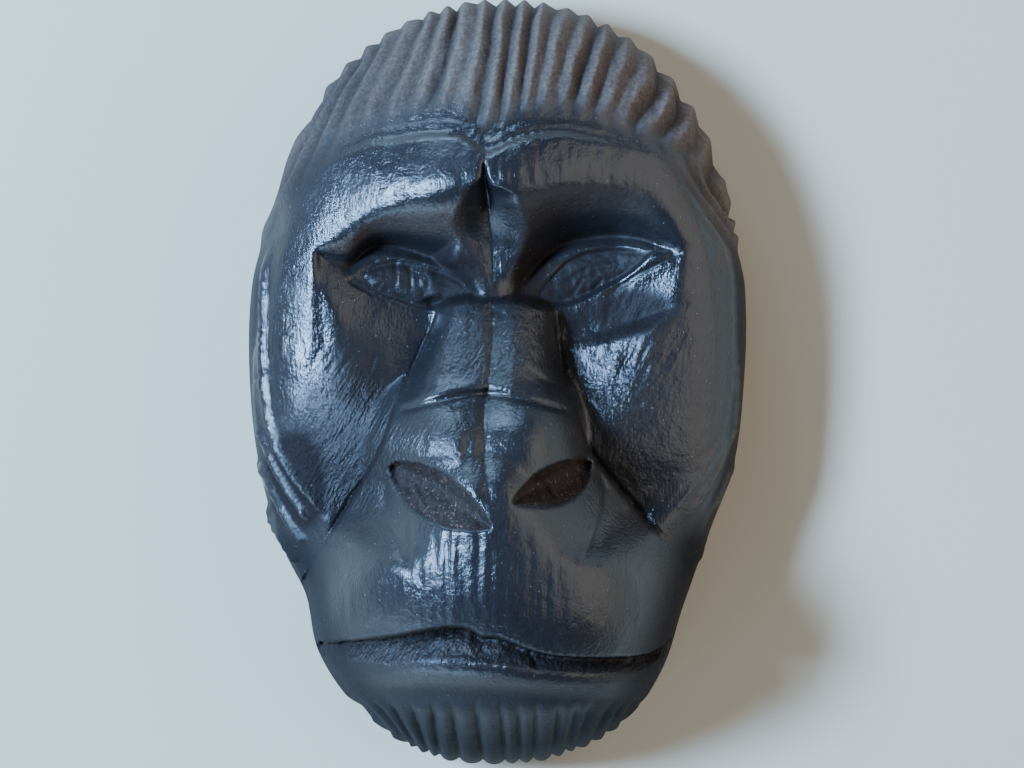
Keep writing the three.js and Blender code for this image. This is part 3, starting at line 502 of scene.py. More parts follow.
OUTLINE_SHARE = closed_outline(OUTLINE)
FACE_SHARE = closed_outline(FACE_EDGE)
MIDDLE_AT = curve(MIDDLE)
BROW_AT = pair(BROW_LINE)
LID_AT = pair(LID_LINE)
RIM_AT = pair(RIM_LINE)
RIM_SLOPE_AT = pair(RIM_SLOPE)
VALLEY_FLOOR_AT = curve(VALLEY_FLOOR)
VALLEY_SLOPE_AT = pair(VALLEY_SLOPE)
VALLEY_WIDTH_AT = pair(VALLEY_WIDTH)
EYE_TOP_AT = pair(EYE_TOP)
EYE_BOTTOM_AT = pair(EYE_BOTTOM)
BRIDGE_AT = pair(BRIDGE_HALF_WIDTH)
CREASE_AT = curve(NOSE_CREASE)
CHEEK_FOLD_AT = curve(CHEEK_FOLD)
MUZZLE_RISE_AT = curve(MUZZLE_RISE)
MUZZLE_BEND_AT = curve(MUZZLE_BEND)
UPPER_LIP_AT = curve(UPPER_LIP)
LOWER_LIP_AT = curve(LOWER_LIP)


def line_distance(x, y, line):
    """Distance to the nearest place on a line of straight pieces, and how far along it lies, from 0 to 1."""
    nearest = np.full(x.shape, np.inf)
    along = np.zeros(x.shape)
    for i in range(len(line) - 1):
        (x0, y0), (x1, y1) = line[i], line[i + 1]
        dx, dy = x1 - x0, y1 - y0
        share = np.clip(((x - x0) * dx + (y - y0) * dy) / (dx * dx + dy * dy), 0, 1)
        distance = np.hypot(x - x0 - share * dx, y - y0 - share * dy)
        closer = distance < nearest
        nearest = np.where(closer, distance, nearest)
        along = np.where(closer, (i + share) / (len(line) - 1), along)
    return nearest, along


def noise(x, y, size, seed):
    """Smooth random relief from -1 to 1: random numbers on a square lattice of that size, blended between."""
    lattice = np.random.default_rng(seed).uniform(-1, 1, (256, 256))
    u, v = x / size, y / size
    i, j = np.floor(u).astype(int), np.floor(v).astype(int)
    s, t = ramp(u - i, 0, 1), ramp(v - j, 0, 1)
    at = lambda p, q: lattice[p % 256, q % 256]
    low = at(i, j) * (1 - s) + at(i + 1, j) * s
    high = at(i, j + 1) * (1 - s) + at(i + 1, j + 1) * s
    return low * (1 - t) + high * t


class Place:
    """Points of the front: their place on the oval, distance from the middle line and side of it."""

    def __init__(self, across, along, scale=1):
        x, y = (scale * value for value in on_oval(across, along))
        self.x, self.y = x, y
        self.wave = groove_wave(across, along)
        self.angle = np.arctan2(y / HALF_LENGTH, x / HALF_WIDTH)
        outline = OUTLINE_SHARE(self.angle)
        self.share = np.hypot(x / HALF_WIDTH, y / HALF_LENGTH) / outline
        self.radius = np.hypot(HALF_WIDTH * np.cos(self.angle), HALF_LENGTH * np.sin(self.angle)) * outline
        middle = MIDDLE_AT(y)
        self.out = np.abs(x - middle)
        self.side = np.where(x < middle, 0, 1)

    def of_side(self, pair_of_values):
        """The first value on the left, the second on the right."""
        return np.where(self.side == 0, *pair_of_values)


def dome_rise(p):
    """Side rise plus a bell over the brows, which fades in up the face and falls back in the hair."""
    upwards = ramp(p.y, *BROW_FADE) - BROW_SETBACK * ramp(p.y, *BROW_SETBACK_FROM)
    return SIDE_RISE + bump(p.x, *BROW_BELL) * upwards


def arch(share, power):
    """1 in the middle of the oval and 0 at its edge: sqrt(1 - share^power)."""
    return np.sqrt(np.maximum(1 - share ** power, 0))


def dome_height(p):
    """The arch of the dome over the widest line."""
    return WIDEST_HEIGHT + dome_rise(p) * arch(p.share, DOME_POWER)


def below_dome(height, dome):
    """The height, kept a little below the dome."""
    return soft_min(height, dome - SOCKET_LEAST_DEPTH, SOCKET_SOFT)


def hollow_height(p):
    """Socket height, rising outwards and downwards at two slopes."""
    above_fold = ramp(p.y - CHEEK_FOLD_AT(p.out), *CHEEK_FOLD_SOFT) * (p.side == 1)
    outwards = slope_from(p.out, *CHEEK_OUTWARD) * (1 - CHEEK_FOLD_SHARE * above_fold)
    outwards = outwards * ramp(-p.y, *CHEEK_OUTWARD_FADE)
    rim = slope_from(p.out, *SOCKET_RIM) * ramp(p.y, *SOCKET_RIM_FADE)
    return SOCKET_HEIGHT + outwards + rim + slope_from(-p.y, *CHEEK_DOWNWARD)


def lower_cheek(p):
    """0 at the sockets and 1 on the lower cheeks."""
    return ramp(-p.y, *LOWER_CHEEK)


def cheek_turn(p):
    """How far the lower cheek falls below the dome: a slope downwards inside the edge of the bare face."""
    return slope_from(-p.y, *CHEEK_TURN) * ramp(inside_face(p), *CHEEK_TURN_FADE) * (p.y < 0)


def up_the_brow(p):
    """0 on the line of the lid and 1 on the line of the brow, in even shares between."""
    lid = LID_AT(p, p.out)
    return (p.y - lid) / np.maximum(BROW_AT(p, p.out) - lid, BROW_LEAST_HEIGHT)


def sockets_and_cheeks(p, dome):
    """The dome on brows, rims and lower cheeks, mixed with the hollow by how much dome is kept."""
    brow = soft_min(soft_max(up_the_brow(p), 0, BROW_FOOT_SOFT), 1, BROW_SOFT)
    slope = RIM_SLOPE_AT(p, p.y)
    edge = RIM_AT(p, p.y)
    rim = ramp(p.out, edge - RIM_INSIDE_SHARE * slope, edge + (1 - RIM_INSIDE_SHARE) * slope)
    kept = 1 - (1 - brow) * (1 - rim) * (1 - lower_cheek(p))
    floor = below_dome(hollow_height(p) + bump(p.out, *BETWEEN_EYES), dome)
    return floor + (dome - floor) * kept


def with_valley(p, z):
    """A V cut down between the brows, floor + slope * out, which goes on between the eyes as a ridge of the
    same V with sides that fall into the sockets."""
    slope = VALLEY_SLOPE_AT(p, p.y)
    valley = VALLEY_FLOOR_AT(p.y) + slope * p.out
    cut = np.where(p.y > VALLEY_FLOOR[0][0], soft_min(z, valley, p.of_side(VALLEY_SOFT)), z)
    fall = slope + p.of_side(VALLEY_SIDE_FALL)
    ridge = valley - slope_from(p.out, fall, VALLEY_WIDTH_AT(p, p.y), p.of_side(VALLEY_SIDE_SOFT))
    ridge = ridge - VALLEY_RIDGE_DROP * ramp(p.y, *VALLEY_RIDGE_TOP)
    return np.where(p.y > BRIDGE_TOP - VALLEY_RIDGE_BELOW, soft_max(cut, ridge, VALLEY_RIDGE_SOFT), cut)


def on_lid_line(p):
    """A bell across the groove along the lid."""
    return bump(p.y - LID_AT(p, p.out) + LID_GROOVE_BELOW, LID_GROOVE_WIDTH)


def lid_groove_depth(p):
    """A bell across the line of the lid, fading at both ends."""
    end = p.of_side(LID_GROOVE_TO)
    ends = between(p.out, LID_GROOVE_FROM, LID_GROOVE_FROM + LID_GROOVE_FADE, end, end + LID_GROOVE_FADE)
    return LID_GROOVE_DEPTH * on_lid_line(p) * ends


def eye_across(p):
    """How far across the almond a point is, 0 on its long axis and 1 at its rim, and the almond's size."""
    top, bottom = EYE_TOP_AT(p, p.out), EYE_BOTTOM_AT(p, p.out)
    inner = p.of_side([table[0][0] for table in EYE_TOP])
    outer = p.of_side([table[-1][0] for table in EYE_TOP])
    half = (top - bottom) / 2
    inside = (p.out > inner) & (p.out < outer) & (half > 0)
    across = np.where(inside, np.abs(p.y - (top + bottom) / 2) / np.maximum(half, LEAST_HEIGHT), 1)
    return np.minimum(across, 1), np.sqrt(np.clip(half / EYE_FULL_HALF_HEIGHT, 0, 1))


def eye_rise(p):
    """Half an oval across the almond, sunk a little below its rim."""
    across, size = eye_across(p)
    bulge = p.of_side(EYE_BULGE) * (1 - across * across) ** EYE_ROUNDNESS
    return (bulge - EYE_SINK * ramp(1 - across, 0, EYE_RIM_SHARE)) * size


def lid_pad_height(p):
    """Half a bell below the rim of the right eye, highest at the rim, fading at both corners."""
    below = EYE_BOTTOM_AT(p, p.out) - p.y
    pad = bump(soft_max(below, 0, LID_PAD_SOFT), *LID_PAD) * ramp(below, *LID_PAD_EDGE)
    return pad * between(p.out, *LID_PAD_ENDS) * (p.side == 1)


def bridge_height(p):
    """A ridge that rises downwards, falls off to its sides by a power, and ends in a step at its top."""
    ridge = BRIDGE_HEIGHT + BRIDGE_SLOPE * (BRIDGE_TOP - p.y)
    half = BRIDGE_AT(p, p.y)
    side_slope, side_from = p.of_side(BRIDGE_SIDE_SLOPE), p.of_side(BRIDGE_SIDE_FROM)
    rest = ridge - BRIDGE_FOOT - side_slope * (half - side_from)
    fall = slope_from(p.out, side_slope, side_from, BRIDGE_SIDE_SOFT)
    fall = fall + rest * np.clip(p.out / half, 0, BRIDGE_REACH) ** p.of_side(BRIDGE_POWER)
    inside = soft_max(1 - p.out / p.of_side(BRIDGE_GROOVE_WIDTH), 0, BRIDGE_GROOVE_SOFT)
    droop = slope_from(p.out, *BRIDGE_STEP_DROOP)
    step = BRIDGE_STEP * ramp(p.y + droop - BRIDGE_TOP, *BRIDGE_STEP_FADE)
    rim = bump(p.y - CREASE_AT(p.out) - BRIDGE_RIM_ABOVE, *BRIDGE_RIM)
    outside = (p.y > BRIDGE_TOP + BRIDGE_OVER_TOP) | (p.y < BALL_Y)
    return np.where(outside, 0, ridge - fall - p.of_side(BRIDGE_GROOVE) * inside - step + rim)


def nose_ball_height(p):
    """A flat-topped mound that falls to its sides and its ends by powers."""
    beyond = soft_max(p.out - p.of_side(BALL_FLAT), 0, BALL_SIDE_SOFT) / p.of_side(BALL_SIDE_REACH)
    sides = p.of_side(BALL_SIDE_FALL) * beyond ** p.of_side(BALL_SIDE_POWER)
    ends = BALL_END_FALL * np.abs((p.y - BALL_Y) / BALL_END_REACH) ** BALL_END_POWER
    return BALL_HEIGHT - sides - ends - bump(p.out, *BALL_DIP)


def muzzle_distance(p):
    """Distance below the slanting line where cheek and muzzle meet."""
    straight = (p.out - MUZZLE_CORNER[0]) * MUZZLE_NORMAL[0] + (p.y - MUZZLE_CORNER[1]) * MUZZLE_NORMAL[1]
    return straight + MUZZLE_BEND_AT(p.y)


def muzzle_height(p, dome):
    """The smallest of three, rounded where they meet: its own dome, a plane that limits its top, and a slope
    up from the cheek."""
    cheek = below_dome(hollow_height(p), dome)
    kept = cheek + (dome - cheek) * lower_cheek(p)
    foot_soft, edge_soft = MUZZLE_STEP_SOFT
    inwards = kept + MUZZLE_STEP + slope_from(muzzle_distance(p), MUZZLE_STEP_SLOPE, 0, foot_soft)
    top = MUZZLE_TOP_HEIGHT + MUZZLE_TOP_SLOPE * (MUZZLE_TOP_Y - p.y)
    own = WIDEST_HEIGHT + MUZZLE_RISE_AT(p.y) * arch(p.share, MUZZLE_POWER)
    own = own - p.of_side(MUZZLE_KEEL) * (np.hypot(p.out, MUZZLE_KEEL_ROUND) - MUZZLE_KEEL_ROUND)
    return soft_min(soft_min(own, top, MUZZLE_TOP_SOFT), inwards, edge_soft)


def nostril_depth(p):
    """A leaf-shaped hole, sin(pi along^0.85)^0.7 wide, steep above its long axis and shallow below it."""
    (ox, oy), (ix, iy) = [[p.of_side([point[axis] for point in ends]) for axis in (0, 1)]
                          for ends in (NOSTRIL_OUTER, NOSTRIL_INNER)]
    dx, dy = ix - ox, iy - oy
    length = np.hypot(dx, dy)
    along = np.clip(((p.out - ox) * dx + (p.y - oy) * dy) / length ** 2, 0, 1)
    across = ((p.out - ox) * dy - (p.y - oy) * dx) / length
    lengthways, crossways = NOSTRIL_LEAF_POWERS
    leaf = np.sin(math.pi * along ** lengthways) ** crossways
    width = np.where(across > 0, p.of_side(NOSTRIL_ABOVE), p.of_side(NOSTRIL_BELOW)) * leaf
    inside = np.clip(1 - np.abs(across) / np.maximum(width, LEAST_WIDTH), 0, 1)
    floor = np.where(across > 0, np.minimum(inside * NOSTRIL_STEEPNESS, 1), inside)
    return NOSTRIL_DEPTH * leaf ** NOSTRIL_END_POWER * floor


def mouth_across(p):
    """How far down across the mouth a point is, from 0 at the upper lip to 1 at the lower."""
    upper = UPPER_LIP_AT(p.x)
    return (upper - p.y) / np.maximum(upper - LOWER_LIP_AT(p.x), LEAST_HEIGHT)


def between_corners(p):
    """True from one corner of the mouth to the other."""
    return (p.x > MOUTH_LEFT) & (p.x < MOUTH_RIGHT)


def mouth_depth(p):
    """Deepest under the upper lip, rising to the lower lip, and all below the upper lip stands back."""
    across = mouth_across(p)
    roll = bump(p.y - LOWER_LIP_AT(p.x) + LIP_ROLL_BELOW, *LIP_ROLL)
    corners = 1 - ramp(np.abs(p.x), *LIP_BACK_CORNERS)
    back = (LIP_BACK_DEPTH - roll) * ramp(UPPER_LIP_AT(p.x) - p.y, *LIP_BACK_FADE) * corners
    inner = between(p.x, MOUTH_LEFT, MOUTH_LEFT + MOUTH_CORNER, MOUTH_RIGHT - MOUTH_CORNER, MOUTH_RIGHT)
    depth = MOUTH_CORNER_DEPTH + (MOUTH_DEPTH - MOUTH_CORNER_DEPTH) * inner
    rising = np.clip((1 - across) / (1 - MOUTH_UNDERCUT), 0, 1) ** MOUTH_POWER
    inside = between_corners(p) & (across > 0) & (across < 1)
    return back + np.where(inside, depth * rising * ramp(across, *MOUTH_EDGE), 0)


def shelf_width(p):
    """How wide the shelf over the brows is: nothing at the cheeks, full over both eyes."""
    return SHELF_WIDTH * between(np.degrees(p.angle), *SHELF_DEGREES)


def inside_face(p):
    """Distance inside the edge of the bare face, negative in the hair."""
    return (FACE_SHARE(p.angle) / OUTLINE_SHARE(p.angle) - p.share) * p.radius * EDGE_SLANT


def shelf_depth(p):
    """The hair lies lower than the face, beyond a slope as wide as the shelf."""
    width = shelf_width(p)
    full = HAIR_DROP_SIDE + (HAIR_DROP_MIDDLE - HAIR_DROP_SIDE) * (width / SHELF_WIDTH)
    down = np.clip(-inside_face(p) / np.maximum(width, SHELF_LEAST_SLOPE), 0, 1)
    return full * down * ramp(p.y, *HAIR_DROP_FADE)


def hair_share(p):
    """1 where the hair is gouged, 0 on the face and the smooth band over the brows."""
    return ramp(-inside_face(p) - shelf_width(p), *HAIR_EDGE) * ramp(p.y, *HAIR_FADE)


def knife_depth(p, line, half_width):
    """1 on a line of straight pieces, falling as a V to 0 at the half width, and fading at both ends."""
    distance, along = line_distance(p.x, p.y, line)
    return soft_max(1 - distance / half_width, 0, CUT_SOFT) * between(along, *CUT_ENDS)


def groove_depth(p, depths):
    """Gouge depth at right angles to the surface: a wave across the hair, and down the beard narrow grooves,
    each e to the minus (distance / half width)."""
    hair_depth, beard_depth = depths
    nearest = np.min([line_distance(p.x, p.y, line)[0] for line in BEARD_GROOVES], axis=0)
    beard = np.exp(-nearest / BEARD_GROOVE_HALF_WIDTH) * (1 - ramp(p.y, *BEARD_FADE))
    return hair_depth * hair_share(p) * p.wave + beard_depth * beard


def stroke_height(p):
    """Thin ridges beside the cheeks: 1 - distance / half width along each stroke, a little broken."""
    height = 0
    for line in STROKE_LINES:
        distance, along = line_distance(-np.abs(p.x), p.y, line)
        ridge = soft_max(1 - distance / STROKE_HALF_WIDTH, 0, STROKE_SOFT)
        height = height + ridge * between(along, *STROKE_ENDS)
    breaks = STROKE_EVENNESS + STROKE_BREAKS * noise(p.x, p.y, STROKE_BREAK_SIZE, STROKE_BREAK_SEED)
    return np.where(p.x < 0, STROKE_LEFT, STROKE_RIGHT) * height * breaks


def muzzle_groove_depth(p):
    """A bell across the line where bridge and muzzle meet the cheeks, from the eyes down to the jaw."""
    beside_bridge = bump(p.out - BRIDGE_AT(p, p.y), MUZZLE_GROOVE_WIDTH) * between(p.y, *BESIDE_BRIDGE)
    over_muzzle = bump(muzzle_distance(p), MUZZLE_GROOVE_WIDTH) * ramp(-p.y, *MUZZLE_GROOVE_FADE)
    over_muzzle = over_muzzle * ramp(inside_face(p), *MUZZLE_GROOVE_EDGE) * (p.out > MUZZLE_GROOVE_OUT)
    return MUZZLE_GROOVE_DEPTH * np.maximum(beside_bridge, over_muzzle)


def fine_cuts(p):
    """Knife cuts, the deep eye corner and the dark groove beside the muzzle."""
    depth = muzzle_groove_depth(p) + EYE_CORNER_DEPTH * patch(*EYE_CORNER, EYE_CORNER_FADE)(p)
    return depth + sum(cut * knife_depth(p, line, half_width) for line, cut, half_width in CUTS)


def creases_depth(p):
    """Bells across the crease over the nose ball, the folds beside the muzzle, the drooping crease over the
    chin and the knife's line along the shelf."""
    nose = bump(p.y - CREASE_AT(p.out), *NOSE_CREASE_CUT) * (1 - ramp(p.out, *NOSE_CREASE_FADE))
    chin = bump(p.y - CHIN_CREASE_Y + CHIN_CREASE_DROOP * p.x * p.x, *CHIN_CREASE)
    depth = nose + chin * (1 - ramp(np.abs(p.x), *CHIN_CREASE_FADE))
    for side in (0, 1):
        distance, along = line_distance(p.out, p.y, FOLD_LINE[side])
        depth = depth + (p.side == side) * bump(distance, *FOLD) * (1 - ramp(along, *FOLD_FADE))
    return depth + bump(inside_face(p) + SHELF_CUT_BEYOND, *SHELF_CUT) * (shelf_width(p) / SHELF_WIDTH)


def mouth_share(p):
    """1 in the mouth, 0 outside it."""
    return between(mouth_across(p), 0, 0.1, 0.85, 1.05) * between_corners(p)


def patch(x, y, half_width, half_height, fade=(0.5, 1)):
    """1 in the middle of an oval patch, 0 outside it, as a function of the place."""
    return lambda p: 1 - ramp(np.hypot((p.x - x) / half_width, (p.y - y) / half_height), *fade)


def in_nostril(low, high):
    """0 where a nostril is no deeper than low, 1 where it is deeper than high, as a function of the place."""
    return lambda p: ramp(nostril_depth(p), low, high)


def on_eye(fade):
    """1 on the eyes, fading to 0 towards their rims, as a function of the place."""
    return lambda p: 1 - ramp(eye_across(p)[0], fade, 1)


def under_brow(p):
    """Where the brows' undersides are painted lighter: 1 under the left brow and 0.5 under the right, 0 on
    the lids and over the brows.
    """
    up = between(up_the_brow(p), 0.25, 0.6, 0.9, 1.1)
    return up * between(p.out, 2, 5, 19, 23) * p.of_side((1, 0.5))


def off_strokes(p):
    """0 on the carved strokes, 1 beside them."""
    return 1 - ramp(stroke_height(p), 0.1, 0.3)


def front_height(p):
    """The carved height of the front, before grooves, strokes and fine marks."""
    dome = dome_height(p) - cheek_turn(p)
    z = sockets_and_cheeks(p, dome) - lid_groove_depth(p) + eye_rise(p) + lid_pad_height(p)
    z = with_valley(p, z - shelf_depth(p))
    muzzle = muzzle_height(p, dome)
    muzzle = np.where(p.out < MUZZLE_CORNER[0] - MUZZLE_INSIDE_CORNER, np.maximum(z, muzzle), muzzle)
    z = np.where((muzzle_distance(p) > 0) & (p.y < 0), muzzle, z)
    z = soft_max(z, bridge_height(p), BRIDGE_SOFT)
    z = soft_max(z, nose_ball_height(p), BALL_SOFT)
    z = z - NOSE_GROOVE_DEPTH * np.exp(-p.out / NOSE_GROOVE_WIDTH) * between(-p.y, *NOSE_GROOVE_ENDS)
    return z - nostril_depth(p) - mouth_depth(p) - creases_depth(p) - fine_cuts(p)


def dome_lean(p):
    """Sideways and upward parts of the direction straight out of the dome, from its slope."""
    fall = dome_rise(p) * (DOME_POWER / 2) * p.share ** (DOME_POWER - 1)
    slope = fall / np.sqrt(np.maximum(1 - p.share ** DOME_POWER, 1e-6)) / p.radius
    return slope / np.hypot(slope, 1), 1 / np.hypot(slope, 1)


def on_oval(across, along):
    """A square laid over the oval: each coordinate shrunk by sqrt(1 - other^2 / 2)."""
    a = across * np.sqrt(1 - along * along / 2)
    b = along * np.sqrt(1 - across * across / 2)
    share = OUTLINE_SHARE(np.arctan2(b, a))
    return a * HALF_WIDTH * share, b * HALF_LENGTH * share


def groove_wave(across, along):
    """0 on a rounded crest and about 1 in a groove, in straight flanks, over the hair. Grooves lean to the
    right going up, more so on the right, wander a little, and are not all as deep."""
    rightward = ramp(across, *HAIR_LEAN_BETWEEN)
    lean = HAIR_LEAN_LEFT + (HAIR_LEAN_RIGHT - HAIR_LEAN_LEFT) * rightward
    turned = across + lean * (1 - along) * ramp(along, *HAIR_LEAN_FADE)
    x, y = across * HAIR_WANDER_SPAN, along * HAIR_WANDER_SPAN
    count = turned * GROOVES / 2 + sum(share * noise(x, y, size, seed) for share, size, seed in HAIR_WANDER)
    share = count - np.floor(count)
    crest = CREST_PLACE + CREST_SHIFT * rightward
    flank = np.where(share < crest, 1 - share / crest, (share - crest) / (1 - crest))
    groove = np.floor(count + 0.5).astype(int)
    chance = np.random.default_rng(GROOVE_DEEPNESS_SEED).uniform(-1, 1, 64)
    deepness = GROOVE_DEEPNESS + GROOVE_DEEPNESS_RANGE * chance[groove % 64]
    wave = deepness * (soft_max(flank, GROOVE_CREST_ROUNDING, GROOVE_SOFT) - GROOVE_CREST_ROUNDING)
    return np.where(along > 0, wave, 0)


def turned_noise(p, degrees, wide, long, seed):
    """Noise stretched along a direction: streaks of that width and length."""
    c, s = math.cos(math.radians(degrees)), math.sin(math.radians(degrees))
    return noise((p.x * s - p.y * c) * (long / wide), p.x * c + p.y * s, long, seed)


# Fine marks: height, noise as (direction in degrees, width, length, seed), and where it shows. Two sizes of
# pebble everywhere, then muzzle, cheeks, bridge, nostrils, mouth, eyes, bridge top, brow, shelf and hair.
MARKS = [
    (0.05, (90, 2.6, 2.6, 7), lambda p: 1),
    (0.045, (90, 0.9, 0.9, 5), lambda p: 1),
    (0.06, (90, 0.7, 6, 3), lambda p: ramp(-p.y, 12, 18) * ramp(p.y, -32, -30)),
    (0.1, (88, 0.8, 7, 31), patch(-6, -22, 8, 10)),
    (0.22, (86, 0.8, 4, 32), patch(-9, -9.5, 8, 5.5)),
    (0.1, (55, 0.6, 2.8, 21), patch(-20, -5, 9, 11)),
    (0.1, (65, 0.6, 3, 22), patch(18, 6, 9, 9)),
    (0.1, (-40, 0.5, 1.4, 23), patch(5, 4, 5, 7)),
    (0.32, (-60, 0.5, 2.2, 24), in_nostril(0.2, 0.8)),
    (0.3, (40, 0.6, 2.2, 27), lambda p: mouth_share(p) * (p.x < -7)),
    (0.3, (90, 0.6, 0.6, 28), lambda p: mouth_share(p) * (p.x > -7)),
    (0.12, (90, 0.6, 0.6, 29), on_eye(0.7)),
    (0.07, (90, 0.7, 0.7, 30), lambda p: ramp(bridge_height(p) - SOCKET_HEIGHT, 1, 3) * ramp(p.y, -4, -1)),
    (0.09, (90, 0.6, 2.4, 33), patch(9, 27.5, 13, 4)),
    (0.14, (90, 0.6, 0.6, 25), patch(1.6, 31.4, 6, 2)),
    (0.12, (75, 0.8, 3, 26), hair_share),
]
# The marks are cut in, so their middle lies this far below the carved form
MARKS_SINK = 0.1

# Each of the next tables has (share, where) for a look that the material knows
# Dust: warm grey on the hair, more on the crests than in the grooves, and less towards the left, where the
# missing dust is painted shade. Under the brows the same grey is painted light, and a little dust lies in the
# nostrils and mouth.
DUST_AND_PAINTED_LIGHT = [
    (1, lambda p: hair_share(p) * (1 - 0.4 * ramp(-p.x, 6, 20)) * (1 - 0.7 * p.wave)),
    (0.45, under_brow),
    (0.16, in_nostril(0.2, 1)),
    (0.06, mouth_share),
]
# Rough floors: the nostrils and mouth are rough from the knife, and the eyes are rough from the knife and
# painted shade. The band under the upper lip, the lid grooves, the inner eye corners, the hollow below the
# right eye and the knife cuts are painted shade. The lower left cheek and the sides of the strokes are only
# dull.
ROUGH_FLOORS_AND_SHADE = [
    (1, in_nostril(0.05, 0.6)),
    (0.5, mouth_share),
    (0.8, lambda p: bump(mouth_across(p) + 0.02, 0.07) * between_corners(p)),
    (0.8, lambda p: on_lid_line(p) * (p.out > 2) * (p.out < 21)),
    (1, lambda p: p.of_side((0.5, 0.85)) * on_eye(0.8)(p)),
    (0.9, patch(-5.2, 13.4, 4.4, 5.4)),
    (0.9, patch(4.2, 13.6, 3.2, 5)),
    (0.85, patch(17.4, 9, 7.5, 4.2)),
    (0.45, patch(-21, -12, 12, 9.5)),
    (0.5, patch(-18, 1, 5, 7)),
    (0.8, lambda p: patch(-27, -14, 6, 11)(p) * off_strokes(p)),
    (1, lambda p: ramp(fine_cuts(p), 0.15, 0.45)),
]
WALL_UNRUBBED = 0.8
UNRUBBED = [
    (1, lambda p: ramp(p.share, 0.78, 0.96) * (1 - between(p.y, -22, -14, 18, 26))),
    (WALL_UNRUBBED, lambda p: ramp(p.share, 0.94, 0.975) * off_strokes(p)),
    (1, lambda p: ramp(-p.y, 37.5, 40) * (0.35 + 0.4 * (1 - ramp(-p.y, 41.5, 44)))),
]
PEBBLED = [
    (1, mouth_share), (0.9, patch(-19.5, -8, 10, 12)), (0.25, patch(20, 0, 12, 16)), (0.5, patch(0, 5, 9, 8)),
    (0.35, patch(-8, -10, 10, 7)),
]


def added(table):
    """The sum of a table's shares where each shows, up to 1, as a function of the place."""
    return lambda p: np.clip(sum(share * where(p) for share, where in table), 0, 1)


def strongest(table):
    """The largest of a table's shares where each shows, as a function of the place."""
    return lambda p: np.max([share * where(p) for share, where in table], axis=0)


# What each point tells the material: gouged hair, dust and painted light, rough floors and painted shade,
# unrubbed sides, pebbles
LOOKS = {
    "hair": hair_share,
    "dust": strongest(DUST_AND_PAINTED_LIGHT),
    "gouged": added(ROUGH_FLOORS_AND_SHADE),
    "edge": strongest(UNRUBBED),
    "pebbled": added(PEBBLED),
}


def fine_relief(p):
    """Shallow tool marks and grain, outwards: each mark's height times its noise, where it shows."""
    marks = (height * turned_noise(p, *noise_of) * where(p) for height, noise_of, where in MARKS)
    return sum(marks) - MARKS_SINK


def front_points(across, along, depths):
    """Points of the front over the grid, with gouged relief at right angles to the dome, and their looks."""
    p = Place(across, along, GRID_SHARE)
    relief = groove_depth(p, depths) - stroke_height(p) - fine_relief(p)
    sideways, upward = dome_lean(p)
    shrink = 1 - relief * sideways / np.maximum(np.hypot(p.x, p.y), 1)
    points = np.stack([p.x * shrink, p.y * shrink, front_height(p) - relief * upward], axis=-1)
    return points, np.stack([look(p) for look in LOOKS.values()], axis=-1)


def wall_points(across, along, share, height, depths):
    """A ring of the side wall, where grooves die out towards the back."""
    p = Place(across, along)
    relief = (groove_depth(p, depths) - stroke_height(p)) * (height / WIDEST_HEIGHT)
    shrink = share - relief / np.hypot(p.x, p.y)
    return np.stack([p.x * shrink, p.y * shrink, np.full(p.x.shape, float(height))], axis=-1)


def border():
    """The square's border as columns and rows, anticlockwise."""
    columns = np.r_[range(COLUMNS), np.full(ROWS, COLUMNS), range(COLUMNS, 0, -1), np.zeros(ROWS, int)]
    rows = np.r_[np.zeros(COLUMNS, int), np.arange(ROWS), np.full(COLUMNS, ROWS), np.arange(ROWS, 0, -1)]
    return columns, rows


def wall_looks(front_looks):
    """The wall goes on with the hair and its dust, is unrubbed, and has no rough floors, painted shade or
    pebbles.
    """
    hair, dust, _, edge, _ = front_looks.T
    none = np.zeros(hair.shape)
    return np.stack([hair, dust, none, np.maximum(edge, WALL_UNRUBBED), none], axis=-1)


def wall_rings():
    """Each ring's share of the outline and its height, from the widest line to the back."""
    heights = np.linspace(WIDEST_HEIGHT, BACK_EDGE_HEIGHT, WALL_RINGS)
    shares = np.linspace(1, BACK_EDGE_SHARE, WALL_RINGS)
    wider, higher = BACK_ROUNDING
    return [*zip(shares, heights), (BACK_SHARE + wider, higher), (BACK_SHARE, 0)]


def quads(a, b, c, d):
    """Four-cornered faces from four arrays of corners."""
    return np.stack([a, b, c, d], axis=-1).reshape(-1, 4)


def mask_surface(depths):
    """Points, faces, the back's corners and the looks at each point of the closed mask, in millimetres."""
    across, along = np.meshgrid(np.linspace(-1, 1, COLUMNS + 1), np.linspace(-1, 1, ROWS + 1))
    front, front_looks = front_points(across, along, depths)
    index = np.arange(front.shape[0] * front.shape[1]).reshape(ROWS + 1, COLUMNS + 1)
    faces = [quads(index[:-1, :-1], index[:-1, 1:], index[1:, 1:], index[1:, :-1])]
    points = [front.reshape(-1, 3)]
    looks = [front_looks.reshape(-1, len(LOOKS))]
    edge = border()
    above = index[edge[::-1]]
    count = index.size
    for share, height in wall_rings():
        ring = wall_points(across[edge[::-1]], along[edge[::-1]], share, height, depths)
        below = count + np.arange(len(ring))
        faces.append(quads(above, below, np.roll(below, -1), np.roll(above, -1)))
        points.append(ring)
        looks.append(wall_looks(front_looks[edge[::-1]]))
        count += len(ring)
        above = below
    points = np.concatenate(points)
    centre = (points.min(0) + points.max(0)) / 2
    points[:, :2] -= centre[:2]
    return points, np.concatenate(faces), above[::-1], np.concatenate(looks)


def millimetres(length):
    """A length in metres as millimetres, to four decimals."""
    return round(length / MM, 4)


